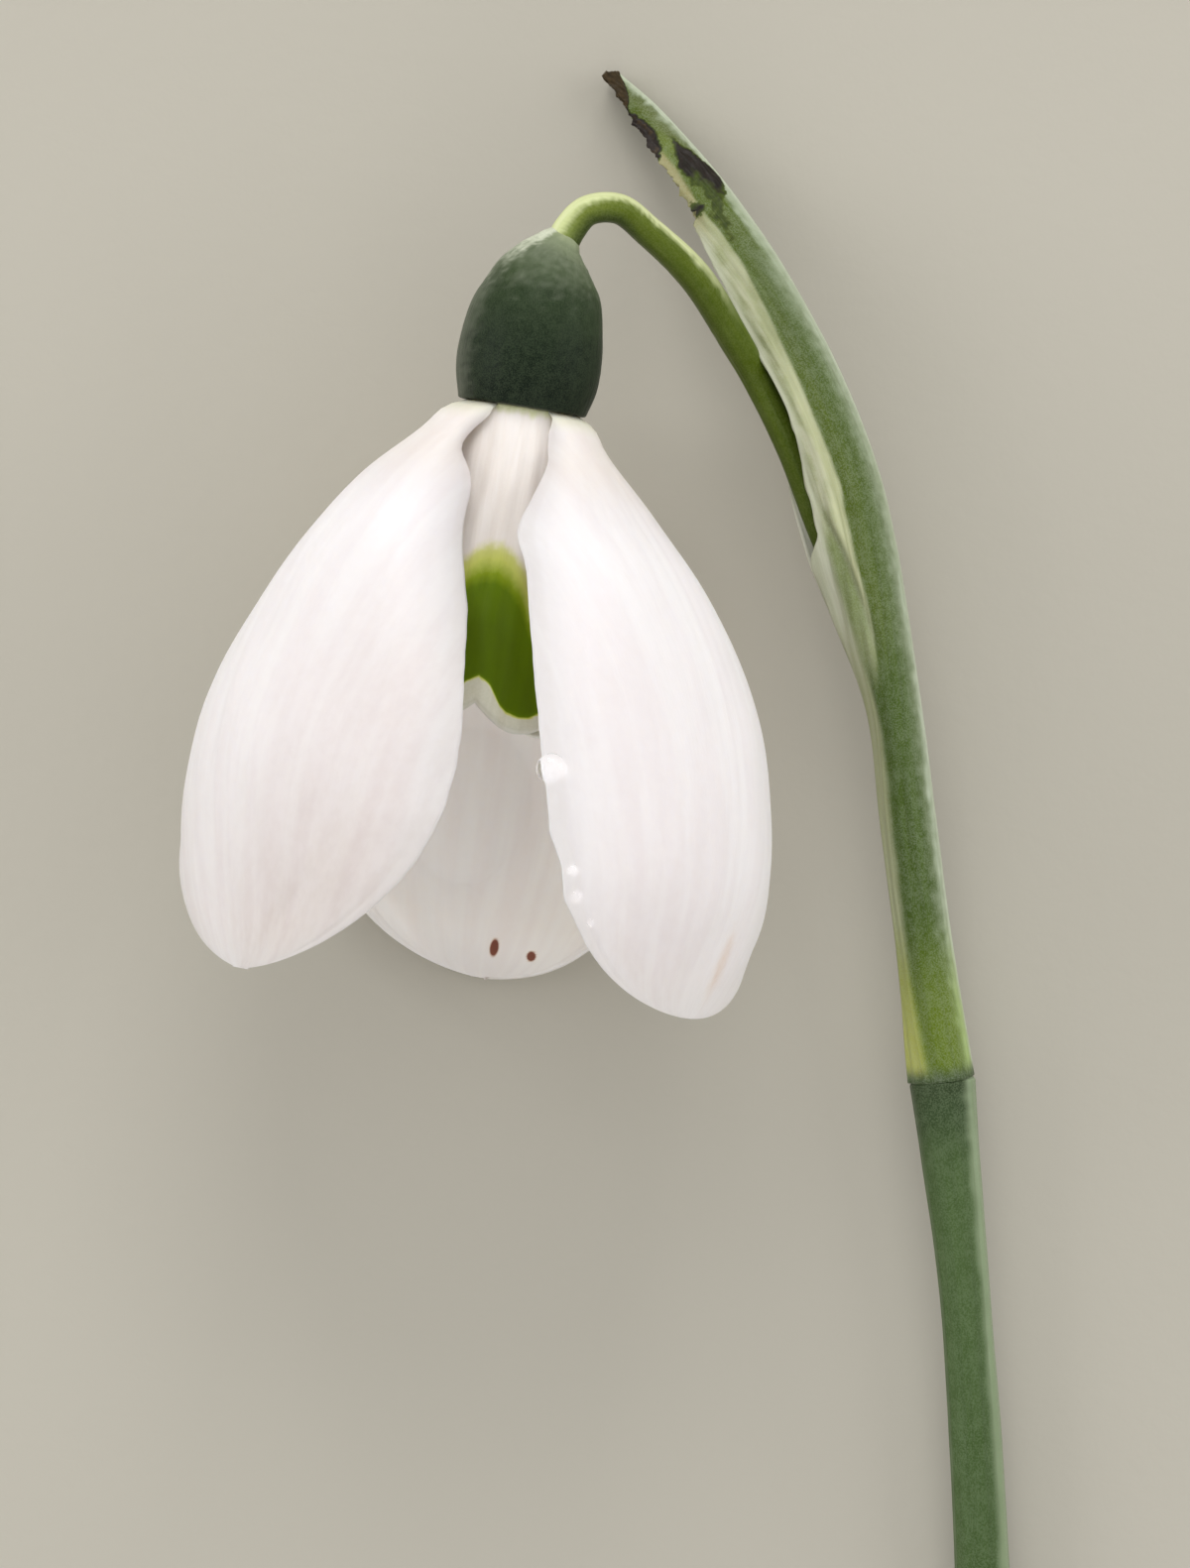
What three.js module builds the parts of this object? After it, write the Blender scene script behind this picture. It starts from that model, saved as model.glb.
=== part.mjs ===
// Snowdrop: one nodding bloom on its pedicel, with the folded spathe that sheathed the bud, on a length
// of cut scape. The picked flower lies on its side on a flat surface, petals to the left and scape to
// the right. Millimetres, +Z up, the origin on the surface under the middle of the flower's outline.
// Every piece is placed from the receptacle, where the petals meet the ovary: x to the right, y along
// the flower towards the pedicel, z from the surface.
import * as THREE from "three";

// Driving dimensions
const WALL = 0.6; // thickness of the petals and of the spathe
const BLOOM_HEIGHT = 11.6; // flower axis above the surface
const BLOOM_TILT = 9; // degrees, tips towards -X
const SEAT_GAP = 0.15; // between pieces that grow from one another

// Outer tepals. Each row of numbers runs from the base to the tip, in steps that start short.
// out: back of the midrib to the flower axis. cupRadius and cup: radius and half angle of the section.
// tipRound: how the outline closes towards the tip, as (1 - along^a)^b.
const FIRST_STEPS_SHORT = 1.5;
const OUTER_TEPALS = [
  {
    name: "outer_tepal_left",
    azimuth: -54,
    length: 24.0,
    out: [3.0, 4.2, 6.6, 8.6, 10.1, 11.1, 10.7, 9.4],
    cupRadius: [2.9, 2.9, 4.5, 6.4, 8.4, 10.3, 12.0, 13.2],
    cup: [26, 45, 57, 62, 66, 70, 72, 74],
    tipRound: [2.5, 0.66],
  },
  {
    name: "outer_tepal_right",
    azimuth: 60,
    length: 23.2,
    out: [3.0, 3.8, 6.2, 9.0, 11.3, 12.75, 13.2, 11.9],
    cupRadius: [2.9, 3.1, 5.1, 7.2, 8.6, 9.5, 10.5, 12.0],
    cup: [28, 42, 58, 63, 66, 69, 72, 74],
    tipRound: [2.5, 0.5],
  },
  {
    name: "outer_tepal_rear",
    azimuth: 170,
    length: 23.4,
    out: [3.0, 4.0, 6.4, 8.9, 10.7, 11.8, 11.8, 10.7],
    cupRadius: [2.9, 3.0, 4.8, 6.8, 8.2, 9.2, 10.0, 11.0],
    cup: [27, 42, 58, 64, 67, 69, 70, 72],
    tipRound: [2.5, 0.56],
  },
];

// Inner tepals: a narrow tube of three, each notched at the tip between two lobes.
const INNER_TEPALS = { inner_tepal_front: 0, inner_tepal_rear_right: 120, inner_tepal_rear_left: 240 };
const INNER_LENGTH = 12.1; // to the notch
const INNER_LOBE = 0.9; // how far the lobes reach past the notch
const INNER_LOBE_ANGLE = 29; // from the midrib to the end of each lobe
const INNER_SHOULDER = 1.6; // how far the outer corners fall back behind the lobes
const INNER_CUP = 56; // half angle of the section, which is round the flower axis
const INNER_OUT = [2.0, 2.6, 3.4, 4.2, 4.6];

// Stamens stand in a ring round the style: a thin filament, then an anther that narrows to a point.
const STAMENS = 6;
const STAMEN_RING = 0.98;
const STAMEN_BOW = 0.12; // how far each bows out halfway along
const STAMEN_LENGTH = 7.4;
const STAMEN_RADII = [0.25, 0.25, 0.24, 0.44, 0.46, 0.42, 0.36, 0.27, 0.14];
const STYLE_LENGTH = 9.2;
const STYLE_RADII = [0.36, 0.34, 0.32, 0.3, 0.24, 0.12];

// Stalks: rows of [x, y, z, radius]. The pedicel thins out inside the spathe's sheath.
const OVARY = [
  [0.0, 0.05, BLOOM_HEIGHT, 2.61],
  [0.16, 1.05, BLOOM_HEIGHT, 2.87],
  [0.32, 2.1, BLOOM_HEIGHT, 2.93],
  [0.52, 3.15, BLOOM_HEIGHT, 2.8],
  [0.8, 4.25, BLOOM_HEIGHT, 2.5],
  [1.07, 5.3, BLOOM_HEIGHT, 2.02],
  [1.36, 6.2, BLOOM_HEIGHT, 1.33],
  [1.68, 6.72, BLOOM_HEIGHT, 0.74],
];
const PEDICEL = [
  [1.78, 6.86, BLOOM_HEIGHT, 0.68],
  [2.4, 7.83, BLOOM_HEIGHT - 0.05, 0.62],
  [3.8, 8.05, BLOOM_HEIGHT - 0.5, 0.61],
  [5.1, 7.1, 9.9, 0.61],
  [7.0, 5.25, 8.1, 0.61],
  [8.35, 3.25, 6.7, 0.61],
  [9.55, 1.3, 4.95, 0.58],
  [10.95, -1.5, 5.1, 0.57],
  [12.3, -5.2, 5.2, 0.5],
  [14.3, -9.8, 4.9, 0.45],
  [15.88, -17.7, 4.1, 0.4],
  [17.1, -27.0, 3.0, 0.4],
];
const SCAPE = [
  [17.17, -27.42, 3.0, 1.34],
  [17.45, -30.0, 2.85, 1.22],
  [18.1, -36.0, 2.5, 1.03],
  [18.6, -43.0, 2.15, 1.08],
  [19.05, -52.0, 1.75, 1.18],
  [19.76, -66.1, 1.27, 1.27],
];

// Spathe, from the node to the withered tip. centre: middle of the fold. fold: its outer radius.
// turn: how far the fold goes round on each side. front, back: straight flaps beyond it.
const SPATHE = [
  { centre: [17.15, -27.25, 3.0], fold: 1.33, turn: 170, front: 0, back: 0 },
  { centre: [16.5, -22.2, 3.6], fold: 1.12, turn: 170, front: 0, back: 0 },
  { centre: [15.89, -17.7, 4.1], fold: 1.12, turn: 170, front: 0, back: 0 },
  { centre: [15.19, -13.1, 4.6], fold: 1.22, turn: 167, front: 0, back: 0.05 },
  { centre: [14.36, -9.3, 5.0], fold: 1.5, turn: 152, front: 0.1, back: 0.3 },
  { centre: [13.6, -5.5, 5.2], fold: 1.62, turn: 105, front: 1.1, back: 1.7 },
  { centre: [12.9, -2.6, 5.2], fold: 1.6, turn: 92, front: 1.5, back: 2.2 },
  { centre: [12.0, 0.1, 5.0], fold: 1.5, turn: 90, front: 1.2, back: 1.6 },
  { centre: [10.95, 2.8, 4.4], fold: 1.3, turn: 90, front: 1.3, back: 1.3 },
  { centre: [9.2, 6.5, 3.0], fold: 0.98, turn: 90, front: 1.3, back: 1.2 },
  { centre: [6.85, 10.0, 1.6], fold: 0.8, turn: 90, front: 0.9, back: 0.7 },
  { centre: [4.83, 12.35, 0.73], fold: 0.72, turn: 90, front: 0.4, back: 0.3 },
  { centre: [3.44, 13.63, 0.85], fold: 0.66, turn: 90, front: 0.1, back: 0.05 },
];

const WHITE = { color: 0xf6f2f1, roughness: 0.55, metalness: 0 };
const CREAM = { color: 0xe6dfd0, roughness: 0.55, metalness: 0 };
const POLLEN_YELLOW = { color: 0xd9a03a, roughness: 0.7, metalness: 0 };
const PALE_GREEN = { color: 0xc9d39a, roughness: 0.5, metalness: 0 };
const DARK_GREEN = { color: 0x39482c, roughness: 0.45, metalness: 0 };
const STALK_GREEN = { color: 0x6f823f, roughness: 0.45, metalness: 0 };
const SPATHE_GREEN = { color: 0x74835a, roughness: 0.5, metalness: 0 };

const SLIGHTLY = 1e-3; // step for the slope of a surface

// Value at place 0..1 on a smooth curve through evenly spaced values.
function smoothThrough(values, place) {
  const last = values.length - 1;
  const scaled = THREE.MathUtils.clamp(place, 0, 1) * last;
  const i = Math.min(Math.floor(scaled), last - 1);
  const f = scaled - i;
  const before = i > 0 ? values[i - 1] : 2 * values[0] - values[1];
  const after = i + 2 <= last ? values[i + 2] : 2 * values[last] - values[last - 1];
  const [from, to] = [values[i], values[i + 1]];
  const bend = 2 * before - 5 * from + 4 * to - after + f * (3 * (from - to) + after - before);
  return from + 0.5 * f * (to - before + f * bend);
}

// Closed solid through rings of points. Both ends are capped by strips across the ring.
function solidThroughRings(rings) {
  const size = rings[0].length;
  const positions = rings.flat().flatMap((p) => p.toArray());
  const index = [];
  for (let i = 0; i + 1 < rings.length; i++) {
    for (let j = 0; j < size; j++) {
      const [a, b] = [i * size + j, i * size + ((j + 1) % size)];
      index.push(a, b, b + size, a, b + size, a + size);
    }
  }
  const end = (rings.length - 1) * size;
  for (let j = 0; j + 1 < size / 2; j++) {
    const [a, b, c, d] = [j, j + 1, size - 2 - j, size - 1 - j];
    index.push(a, c, b, a, d, c);
    index.push(end + a, end + b, end + c, end + a, end + c, end + d);
  }
  const geometry = new THREE.BufferGeometry();
  geometry.setAttribute("position", new THREE.Float32BufferAttribute(positions, 3));
  geometry.setIndex(signedVolume(positions, index) < 0 ? index.reverse() : index);
  return geometry;
}

function signedVolume(positions, index) {
  const corner = (k) => new THREE.Vector3().fromArray(positions, 3 * index[k]);
  let volume = 0;
  for (let k = 0; k < index.length; k += 3) {
    volume += corner(k).dot(corner(k + 1).cross(corner(k + 2))) / 6;
  }
  return volume;
}

// Blade: a back surface given by surface(u, v), cut to the outline that the rows of [u, v] pairs
// trace, with the wall on its inner side.
function bladeSolid(surface, rows, finish = (point) => point) {
  const rings = rows.map((row) => {
    const sunk = ([u, v], depth) => {
      const lengthwise = surface(u + SLIGHTLY, v).sub(surface(u - SLIGHTLY, v));
      const sideways = surface(u, v + SLIGHTLY).sub(surface(u, v - SLIGHTLY));
      const inwards = sideways.cross(lengthwise).normalize();
      return finish(surface(u, v).addScaledVector(inwards, depth), depth);
    };
    const back = row.map((place) => sunk(place, 0));
    const front = row.map((place) => sunk(place, WALL));
    return [...back, ...front.reverse()];
  });
  return solidThroughRings(rings);
}

// Rows of [u, v] pairs. placeAt turns a place along (0..1) and across (-1..1) into such a pair.
function rowsOf(alongs, { columns }, placeAt) {
  return alongs.map((along) =>
    Array.from({ length: columns + 1 }, (_, j) => placeAt(along, (2 * j) / columns - 1)),
  );
}

// Round stalk along a smooth line through [x, y, z, radius] rows.
function stalkSolid(rows, { steps, sides }) {
  const line = new THREE.CatmullRomCurve3(rows.map(([x, y, z]) => new THREE.Vector3(x, y, z)));
  const radii = rows.map((row) => row[3]);
  const rings = Array.from({ length: steps + 1 }, (_, i) => {
    const place = i / steps;
    const centre = line.getPoint(place);
    const ahead = line.getTangent(place);
    const across = new THREE.Vector3(0, 0, 1).cross(ahead).normalize();
    const up = ahead.clone().cross(across);
    const radius = smoothThrough(radii, place);
    return Array.from({ length: sides }, (_, j) => {
      const angle = (2 * Math.PI * j) / sides;
      return centre
        .clone()
        .addScaledVector(across, radius * Math.cos(angle))
        .addScaledVector(up, radius * Math.sin(angle));
    });
  });
  return solidThroughRings(rings);
}

function evenSteps(count) {
  return Array.from({ length: count + 1 }, (_, i) => i / count);
}

// Steps closer together towards the tip, where a petal rounds off.
function stepsTowardsTip(count) {
  return evenSteps(count).map((place) => Math.sin((Math.PI / 2) * place));
}

// Point in the bloom's own frame: axis along -Y, azimuth from +Z towards +X.
function bloomPoint(azimuth, radial, side, along) {
  const turn = THREE.MathUtils.degToRad(azimuth);
  const x = radial * Math.sin(turn) + side * Math.cos(turn);
  const z = radial * Math.cos(turn) - side * Math.sin(turn);
  return new THREE.Vector3(x, -along, z);
}

const TEPAL_START = 0.2; // first row below the receptacle, clear of the ovary
const SMALLEST_TIP = 0.03; // of the full width, so that the last row keeps its shape

function outerTepal({ azimuth, length, out, cupRadius, cup, tipRound: [sharpness, power] }) {
  const surface = (along, angle) => {
    const place = Math.pow(Math.max(along, 0), 1 / FIRST_STEPS_SHORT);
    const radius = smoothThrough(cupRadius, place);
    const radial = smoothThrough(out, place) - radius * (1 - Math.cos(angle));
    const down = TEPAL_START + along * (length - TEPAL_START);
    return bloomPoint(azimuth, radial, radius * Math.sin(angle), down);
  };
  const placeAt = (along, across) => {
    const open = Math.max(Math.pow(1 - Math.pow(along, sharpness), power), SMALLEST_TIP);
    const half = smoothThrough(cup, Math.pow(along, 1 / FIRST_STEPS_SHORT));
    return [along, across * open * THREE.MathUtils.degToRad(half)];
  };
  // The rear tepal carries the bloom: its back is pressed flat where it meets the surface.
  const pressed = (point, depth) => {
    point.z = Math.max(point.z, depth - BLOOM_HEIGHT);
    return point;
  };
  return bladeSolid(surface, rowsOf(stepsTowardsTip(22), { columns: 14 }, placeAt), pressed);
}

function innerTepal(azimuth) {
  const half = THREE.MathUtils.degToRad(INNER_CUP);
  const lobeAt = INNER_LOBE_ANGLE / INNER_CUP;
  const surface = (down, angle) => {
    const radius = smoothThrough(INNER_OUT, down / INNER_LENGTH);
    return bloomPoint(azimuth, radius * Math.cos(angle), radius * Math.sin(angle), down);
  };
  const placeAt = (along, across) => {
    // the end reaches farthest at the lobes, dips sharply between them and rounds off at the corners
    const fromNotch = Math.min(Math.abs(across) / lobeAt, 1);
    const pastLobe = Math.max((Math.abs(across) - lobeAt) / (1 - lobeAt), 0);
    const lobe = INNER_LOBE * Math.sin((Math.PI / 2) * fromNotch) - INNER_SHOULDER * pastLobe ** 2;
    return [TEPAL_START + along * (INNER_LENGTH + lobe - TEPAL_START), across * half];
  };
  return bladeSolid(surface, rowsOf(evenSteps(11), { columns: 12 }, placeAt));
}

function spathe() {
  const middle = new THREE.CatmullRomCurve3(SPATHE.map((row) => new THREE.Vector3(...row.centre)));
  const value = (key, along) => smoothThrough(SPATHE.map((row) => row[key]), along);
  const turnAt = (along) => THREE.MathUtils.degToRad(value("turn", along));
  const surface = (along, reach) => {
    const place = THREE.MathUtils.clamp(along, 0, 1);
    const ahead = middle.getTangent(place);
    const outward = ahead.clone().cross(new THREE.Vector3(0, 0, 1)).normalize();
    const up = outward.clone().cross(ahead).normalize();
    const fold = value("fold", place);
    const angle = Math.min(Math.abs(reach) / fold, turnAt(place));
    const straight = Math.max(Math.abs(reach) - fold * turnAt(place), 0);
    const towardsKeel = fold * Math.cos(angle) - straight * Math.sin(angle);
    const rise = fold * Math.sin(angle) + straight * Math.cos(angle);
    return middle
      .getPoint(place)
      .addScaledVector(outward, towardsKeel)
      .addScaledVector(up, Math.sign(reach) * rise);
  };
  const placeAt = (along, across) => {
    const flap = Math.max(value(across > 0 ? "front" : "back", along), 0);
    return [along, across * (value("fold", along) * turnAt(along) + flap)];
  };
  return bladeSolid(surface, rowsOf(evenSteps(42), { columns: 18 }, placeAt));
}

function stamen(turns) {
  const angle = turns * 2 * Math.PI;
  const rows = STAMEN_RADII.map((radius, i) => {
    const along = i / (STAMEN_RADII.length - 1);
    const ring = STAMEN_RING + STAMEN_BOW * Math.sin(Math.PI * along);
    return [ring * Math.sin(angle), -SEAT_GAP - along * STAMEN_LENGTH, ring * Math.cos(angle), radius];
  });
  return stalkSolid(rows, { steps: 12, sides: 6 });
}

function style() {
  const rows = STYLE_RADII.map((radius, i) => [
    0,
    -SEAT_GAP - (i / (STYLE_RADII.length - 1)) * STYLE_LENGTH,
    0,
    radius,
  ]);
  return stalkSolid(rows, { steps: 8, sides: 6 });
}

function piece(name, geometry, look) {
  const mesh = new THREE.Mesh(geometry, new THREE.MeshStandardMaterial(look));
  mesh.name = name;
  return mesh;
}

const flower = new THREE.Group();

const bloom = new THREE.Group();
bloom.position.set(0, 0, BLOOM_HEIGHT);
bloom.rotation.z = -THREE.MathUtils.degToRad(BLOOM_TILT);
for (const tepal of OUTER_TEPALS) bloom.add(piece(tepal.name, outerTepal(tepal), WHITE));
for (const [name, azimuth] of Object.entries(INNER_TEPALS)) {
  bloom.add(piece(name, innerTepal(azimuth), CREAM));
}
for (let i = 0; i < STAMENS; i++) {
  bloom.add(piece(`stamen_${i + 1}`, stamen((i + 0.5) / STAMENS), POLLEN_YELLOW));
}
bloom.add(piece("style", style(), PALE_GREEN));
flower.add(bloom);

flower.add(piece("ovary", stalkSolid(OVARY, { steps: 14, sides: 28 }), DARK_GREEN));
flower.add(piece("pedicel", stalkSolid(PEDICEL, { steps: 44, sides: 10 }), STALK_GREEN));
flower.add(piece("spathe", spathe(), SPATHE_GREEN));
flower.add(piece("scape", stalkSolid(SCAPE, { steps: 16, sides: 16 }), STALK_GREEN));

// Set the origin under the middle of the outline, on the surface.
const part = new THREE.Group();
part.add(flower);
const outline = new THREE.Box3().setFromObject(part, true);
const middle = outline.getCenter(new THREE.Vector3());
flower.position.set(-middle.x, -middle.y, -outline.min.z);

export default part;
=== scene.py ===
"""Snowdrop lying on a pale surface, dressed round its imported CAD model.

The bloom, its stalk, the spathe and the stem are shaped again here with fine walls, ribs, veins and margins,
and get their finishes. Sizes are in millimetres in the maker's frame, whose origin is the receptacle, where
the petals meet the ovary: x to the right, y along the flower towards its stalk, z up from the surface.
"""

import logging
from collections.abc import Callable, Mapping, Sequence
from dataclasses import dataclass
from enum import Enum
from functools import cached_property
from math import copysign, cos, exp, hypot, pi, radians, sin, sqrt
from typing import ClassVar

import bmesh
import bpy
from bmesh.types import BMesh, BMVert
from bpy.types import ID, Material, Node, NodeTree, Object
from bpy.types import NodeSocket as Socket
from mathutils import Matrix, Vector, noise

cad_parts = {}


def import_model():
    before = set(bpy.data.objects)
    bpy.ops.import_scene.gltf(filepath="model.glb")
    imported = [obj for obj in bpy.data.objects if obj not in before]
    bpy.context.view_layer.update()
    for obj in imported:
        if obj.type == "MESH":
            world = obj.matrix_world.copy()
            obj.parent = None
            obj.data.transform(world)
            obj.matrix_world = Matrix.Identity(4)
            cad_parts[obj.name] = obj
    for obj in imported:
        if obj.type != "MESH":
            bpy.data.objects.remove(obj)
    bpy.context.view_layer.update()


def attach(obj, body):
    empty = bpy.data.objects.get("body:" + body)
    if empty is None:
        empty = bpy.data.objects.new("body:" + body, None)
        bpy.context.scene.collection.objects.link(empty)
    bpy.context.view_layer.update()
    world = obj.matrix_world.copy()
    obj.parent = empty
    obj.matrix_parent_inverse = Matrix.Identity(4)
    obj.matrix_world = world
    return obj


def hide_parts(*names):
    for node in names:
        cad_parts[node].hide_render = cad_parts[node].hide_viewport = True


log = logging.getLogger("snowdrop")

MM = 0.001
RECEPTACLE = Vector((-3.594, 26.030, 0.0))  # in the model's frame
UP = Vector((0, 0, 1))
BLOOM_HEIGHT = 11.6  # flower axis above the surface
BLOOM_TILT = radians(-9.0)  # tips towards -x
GRAIN = "grain"  # attribute: place in the flattened or straightened piece, in millimetres
COAT = "coat"  # attribute: ground colour
MARK = "mark"  # attribute: 0 outside a mark, 1 in its heart

Colour = tuple[float, float, float, float]
Stops = tuple[tuple[float, Colour], ...]
Profile = tuple[tuple[float, float], ...]
Numbers = tuple[float, ...]
Rows = tuple[Numbers, ...]
Triple = tuple[float, float, float]
Source = Socket | float | Sequence[float]


class Slot(Enum):
    """Material slots of the record."""

    OUTER_PETAL = "outer_petal"
    INNER_PETAL = "inner_petal"
    ANTHER = "anther"
    STYLE = "style"
    OVARY = "ovary"
    PEDICEL = "pedicel"
    SPATHE = "spathe"
    SCAPE = "scape"


def tint(red: int, green: int, blue: int) -> Colour:
    """Linear colour from the 0 to 255 values of a screen colour."""
    shares = (value / 255 for value in (red, green, blue))
    return (*(s / 12.92 if s <= 0.04045 else ((s + 0.055) / 1.055) ** 2.4 for s in shares), 1.0)


def stops(*rows: tuple[float, int, int, int]) -> Stops:
    """Colour stops from rows of a place and a screen colour."""
    return tuple((place, tint(*colour)) for place, *colour in rows)


def blend(first: Colour, second: Colour, share: float) -> Colour:
    """Colour a share of the way from the first to the second."""
    kept = min(max(share, 0.0), 1.0)
    return tuple(a + (b - a) * kept for a, b in zip(first, second))


def layered(ground: Colour, *layers: tuple[Colour, float]) -> Colour:
    """Colour of a ground under layers, each with its colour and its share."""
    for colour, share in layers:
        ground = blend(ground, colour, share)
    return ground


def rise(value: float, low: float, high: float) -> float:
    """Smooth step from 0 at low to 1 at high. With low above high it falls."""
    place = min(max((value - low) / (high - low), 0.0), 1.0)
    return place * place * (3.0 - 2.0 * place)


def hump(value: float, middle: float, width: float) -> float:
    """Bell that is 1 in the middle and close to nothing two widths away."""
    return exp(-(((value - middle) / width) ** 2))


def smooth_through(values: Sequence[float], place: float) -> float:
    """Value at a place 0..1 on a smooth curve through evenly spaced values."""
    last = len(values) - 1
    scaled = min(max(place, 0.0), 1.0) * last
    i = min(int(scaled), last - 1)
    f = scaled - i
    before = values[i - 1] if i > 0 else 2 * values[0] - values[1]
    after = values[i + 2] if i + 2 <= last else 2 * values[last] - values[last - 1]
    start, end = values[i], values[i + 1]
    bend = 2 * before - 5 * start + 4 * end - after + f * (3 * (start - end) + after - before)
    return start + 0.5 * f * (end - before + f * bend)


def colour_through(marks: Stops, place: float) -> Colour:
    """Colour at a place among stops in rising order."""
    if place <= marks[0][0]:
        return marks[0][1]
    for (low, first), (high, second) in zip(marks, marks[1:]):
        if place <= high:
            return blend(first, second, rise(place, low, high))
    return marks[-1][1]


class SmoothLine:
    """Smooth line through points, as the CAD's stalks follow."""

    def __init__(self, points: Sequence[Sequence[float]]) -> None:
        """Args: points: the points that it passes, in order."""
        inner = [Vector(p) for p in points]
        self.points = [2 * inner[0] - inner[1], *inner, 2 * inner[-1] - inner[-2]]
        self.spans = len(inner) - 1

    def point(self, place: float) -> Vector:
        """Point at a place 0..1, spread evenly over the spans."""
        scaled = min(max(place, 0.0), 1.0) * self.spans
        i = min(int(scaled), self.spans - 1)
        f = scaled - i
        before, start, end, after = self.points[i : i + 4]
        steps = [sqrt((b - a).length) for a, b in ((before, start), (start, end), (end, after))]
        first, middle, last = steps
        leave = (start - before) / first - (end - before) / (first + middle) + (end - start) / middle
        arrive = (end - start) / middle - (after - start) / (middle + last) + (after - end) / last
        leave, arrive = leave * middle, arrive * middle
        bend = 3 * (end - start) - 2 * leave - arrive
        twist = 2 * (start - end) + leave + arrive
        return start + f * (leave + f * (bend + f * twist))

    def ahead(self, place: float) -> Vector:
        """Direction of the line at a place."""
        step = 1e-4
        return (self.point(min(place + step, 1.0)) - self.point(max(place - step, 0.0))).normalized()

    def distances(self, steps: int) -> list[float]:
        """Distance along the line at each of a number of even steps."""
        found = [0.0]
        for i in range(steps):
            found.append(found[-1] + (self.point((i + 1) / steps) - self.point(i / steps)).length)
        return found


def waver(x: float, y: float, seed: float = 0.0) -> float:
    """Smooth noise from -1 to 1."""
    return noise.noise(Vector((x, y, seed)))


@dataclass
class Spot:
    """What one vertex of a piece gets: its place, wall, flattened place, ground colour and mark."""

    point: Vector
    grain: Vector
    coat: Colour
    mark: float = 0.0
    wall: float = 0.0


def put_in_scene(name: str, data: ID) -> Object:
    """Adds an object with this data to the scene."""
    made = bpy.data.objects.new(name, data)
    bpy.context.scene.collection.objects.link(made)
    return made


def mesh_object(bm: BMesh, name: str) -> Object:
    """Adds an object with this mesh, which is freed, to the scene."""
    mesh = bpy.data.meshes.new(name)
    bm.to_mesh(mesh)
    bm.free()
    return put_in_scene(name, mesh)


def hand_over(bm: BMesh, name: str) -> Object:
    """Turns a mesh in the maker's frame into an object in the model's frame.

    Args:
        bm: the mesh, which is freed.
        name: the piece's name.

    Returns:
        The object, with smooth faces that point outwards.
    """
    bmesh.ops.translate(bm, vec=RECEPTACLE, verts=bm.verts[:])
    bmesh.ops.scale(bm, vec=(MM, MM, MM), verts=bm.verts[:])
    bmesh.ops.recalc_face_normals(bm, faces=bm.faces[:])
    for face in bm.faces:
        face.smooth = True
    return mesh_object(bm, name)


class PieceMesh:
    """A bmesh grid that is shaped, painted and closed to make a piece of the flower."""

    WELD = 1e-5  # how close the vertices of a seam are

    def __init__(self, columns: int, rows: int) -> None:
        """Args: columns, rows: how many faces the grid has each way."""
        self.bm = bmesh.new()
        layers = self.bm.verts.layers
        self.grain = layers.float_vector.new(GRAIN)
        self.coat = layers.float_color.new(COAT)
        self.mark = layers.float.new(MARK)
        self.wall = layers.float.new("wall")
        bmesh.ops.create_grid(self.bm, x_segments=columns, y_segments=rows, size=1.0)

    def shape(self, spot_at: Callable[[float, float], Spot]) -> None:
        """Moves and paints every vertex.

        Args:
            spot_at: gives the spot for a place across (-1..1) and along (0..1) the grid.
        """
        for vert in self.bm.verts:
            spot = spot_at(vert.co.x, (vert.co.y + 1.0) / 2.0)
            vert.co = spot.point
            vert[self.grain] = spot.grain
            vert[self.coat] = spot.coat
            vert[self.mark] = spot.mark
            vert[self.wall] = spot.wall

    def give_wall(self) -> None:
        """Closes the sheet with an inner face, as far in as each vertex says."""
        inwards = self.bm.verts.layers.float_vector.new("inwards")
        self.bm.normal_update()
        for vert in self.bm.verts:
            vert[inwards] = vert.normal
        made = bmesh.ops.extrude_face_region(self.bm, geom=self.bm.faces[:])
        for vert in made["geom"]:
            if isinstance(vert, BMVert):
                vert.co += vert[inwards] * vert[self.wall]

    def close_round(self) -> None:
        """Welds the two long sides of a rolled grid, and its ends where they meet in a point."""
        bmesh.ops.remove_doubles(self.bm, verts=self.bm.verts[:], dist=self.WELD)


def settle(piece: Object, finish: Material, slot: Slot | None, *nodes: str) -> None:
    """Dresses a piece and ties it to the model.

    Args:
        piece: the finished object.
        finish: its material.
        slot: the record's slot that it takes its finish from, if any. It is not used.
        nodes: the CAD nodes that it stands for.
    """
    piece.data.materials.clear()
    piece.data.materials.append(finish)
    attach(piece, "root")
    if nodes:
        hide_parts(*nodes)
    log.info("%s: %d faces", piece.name, len(piece.data.polygons))


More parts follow.
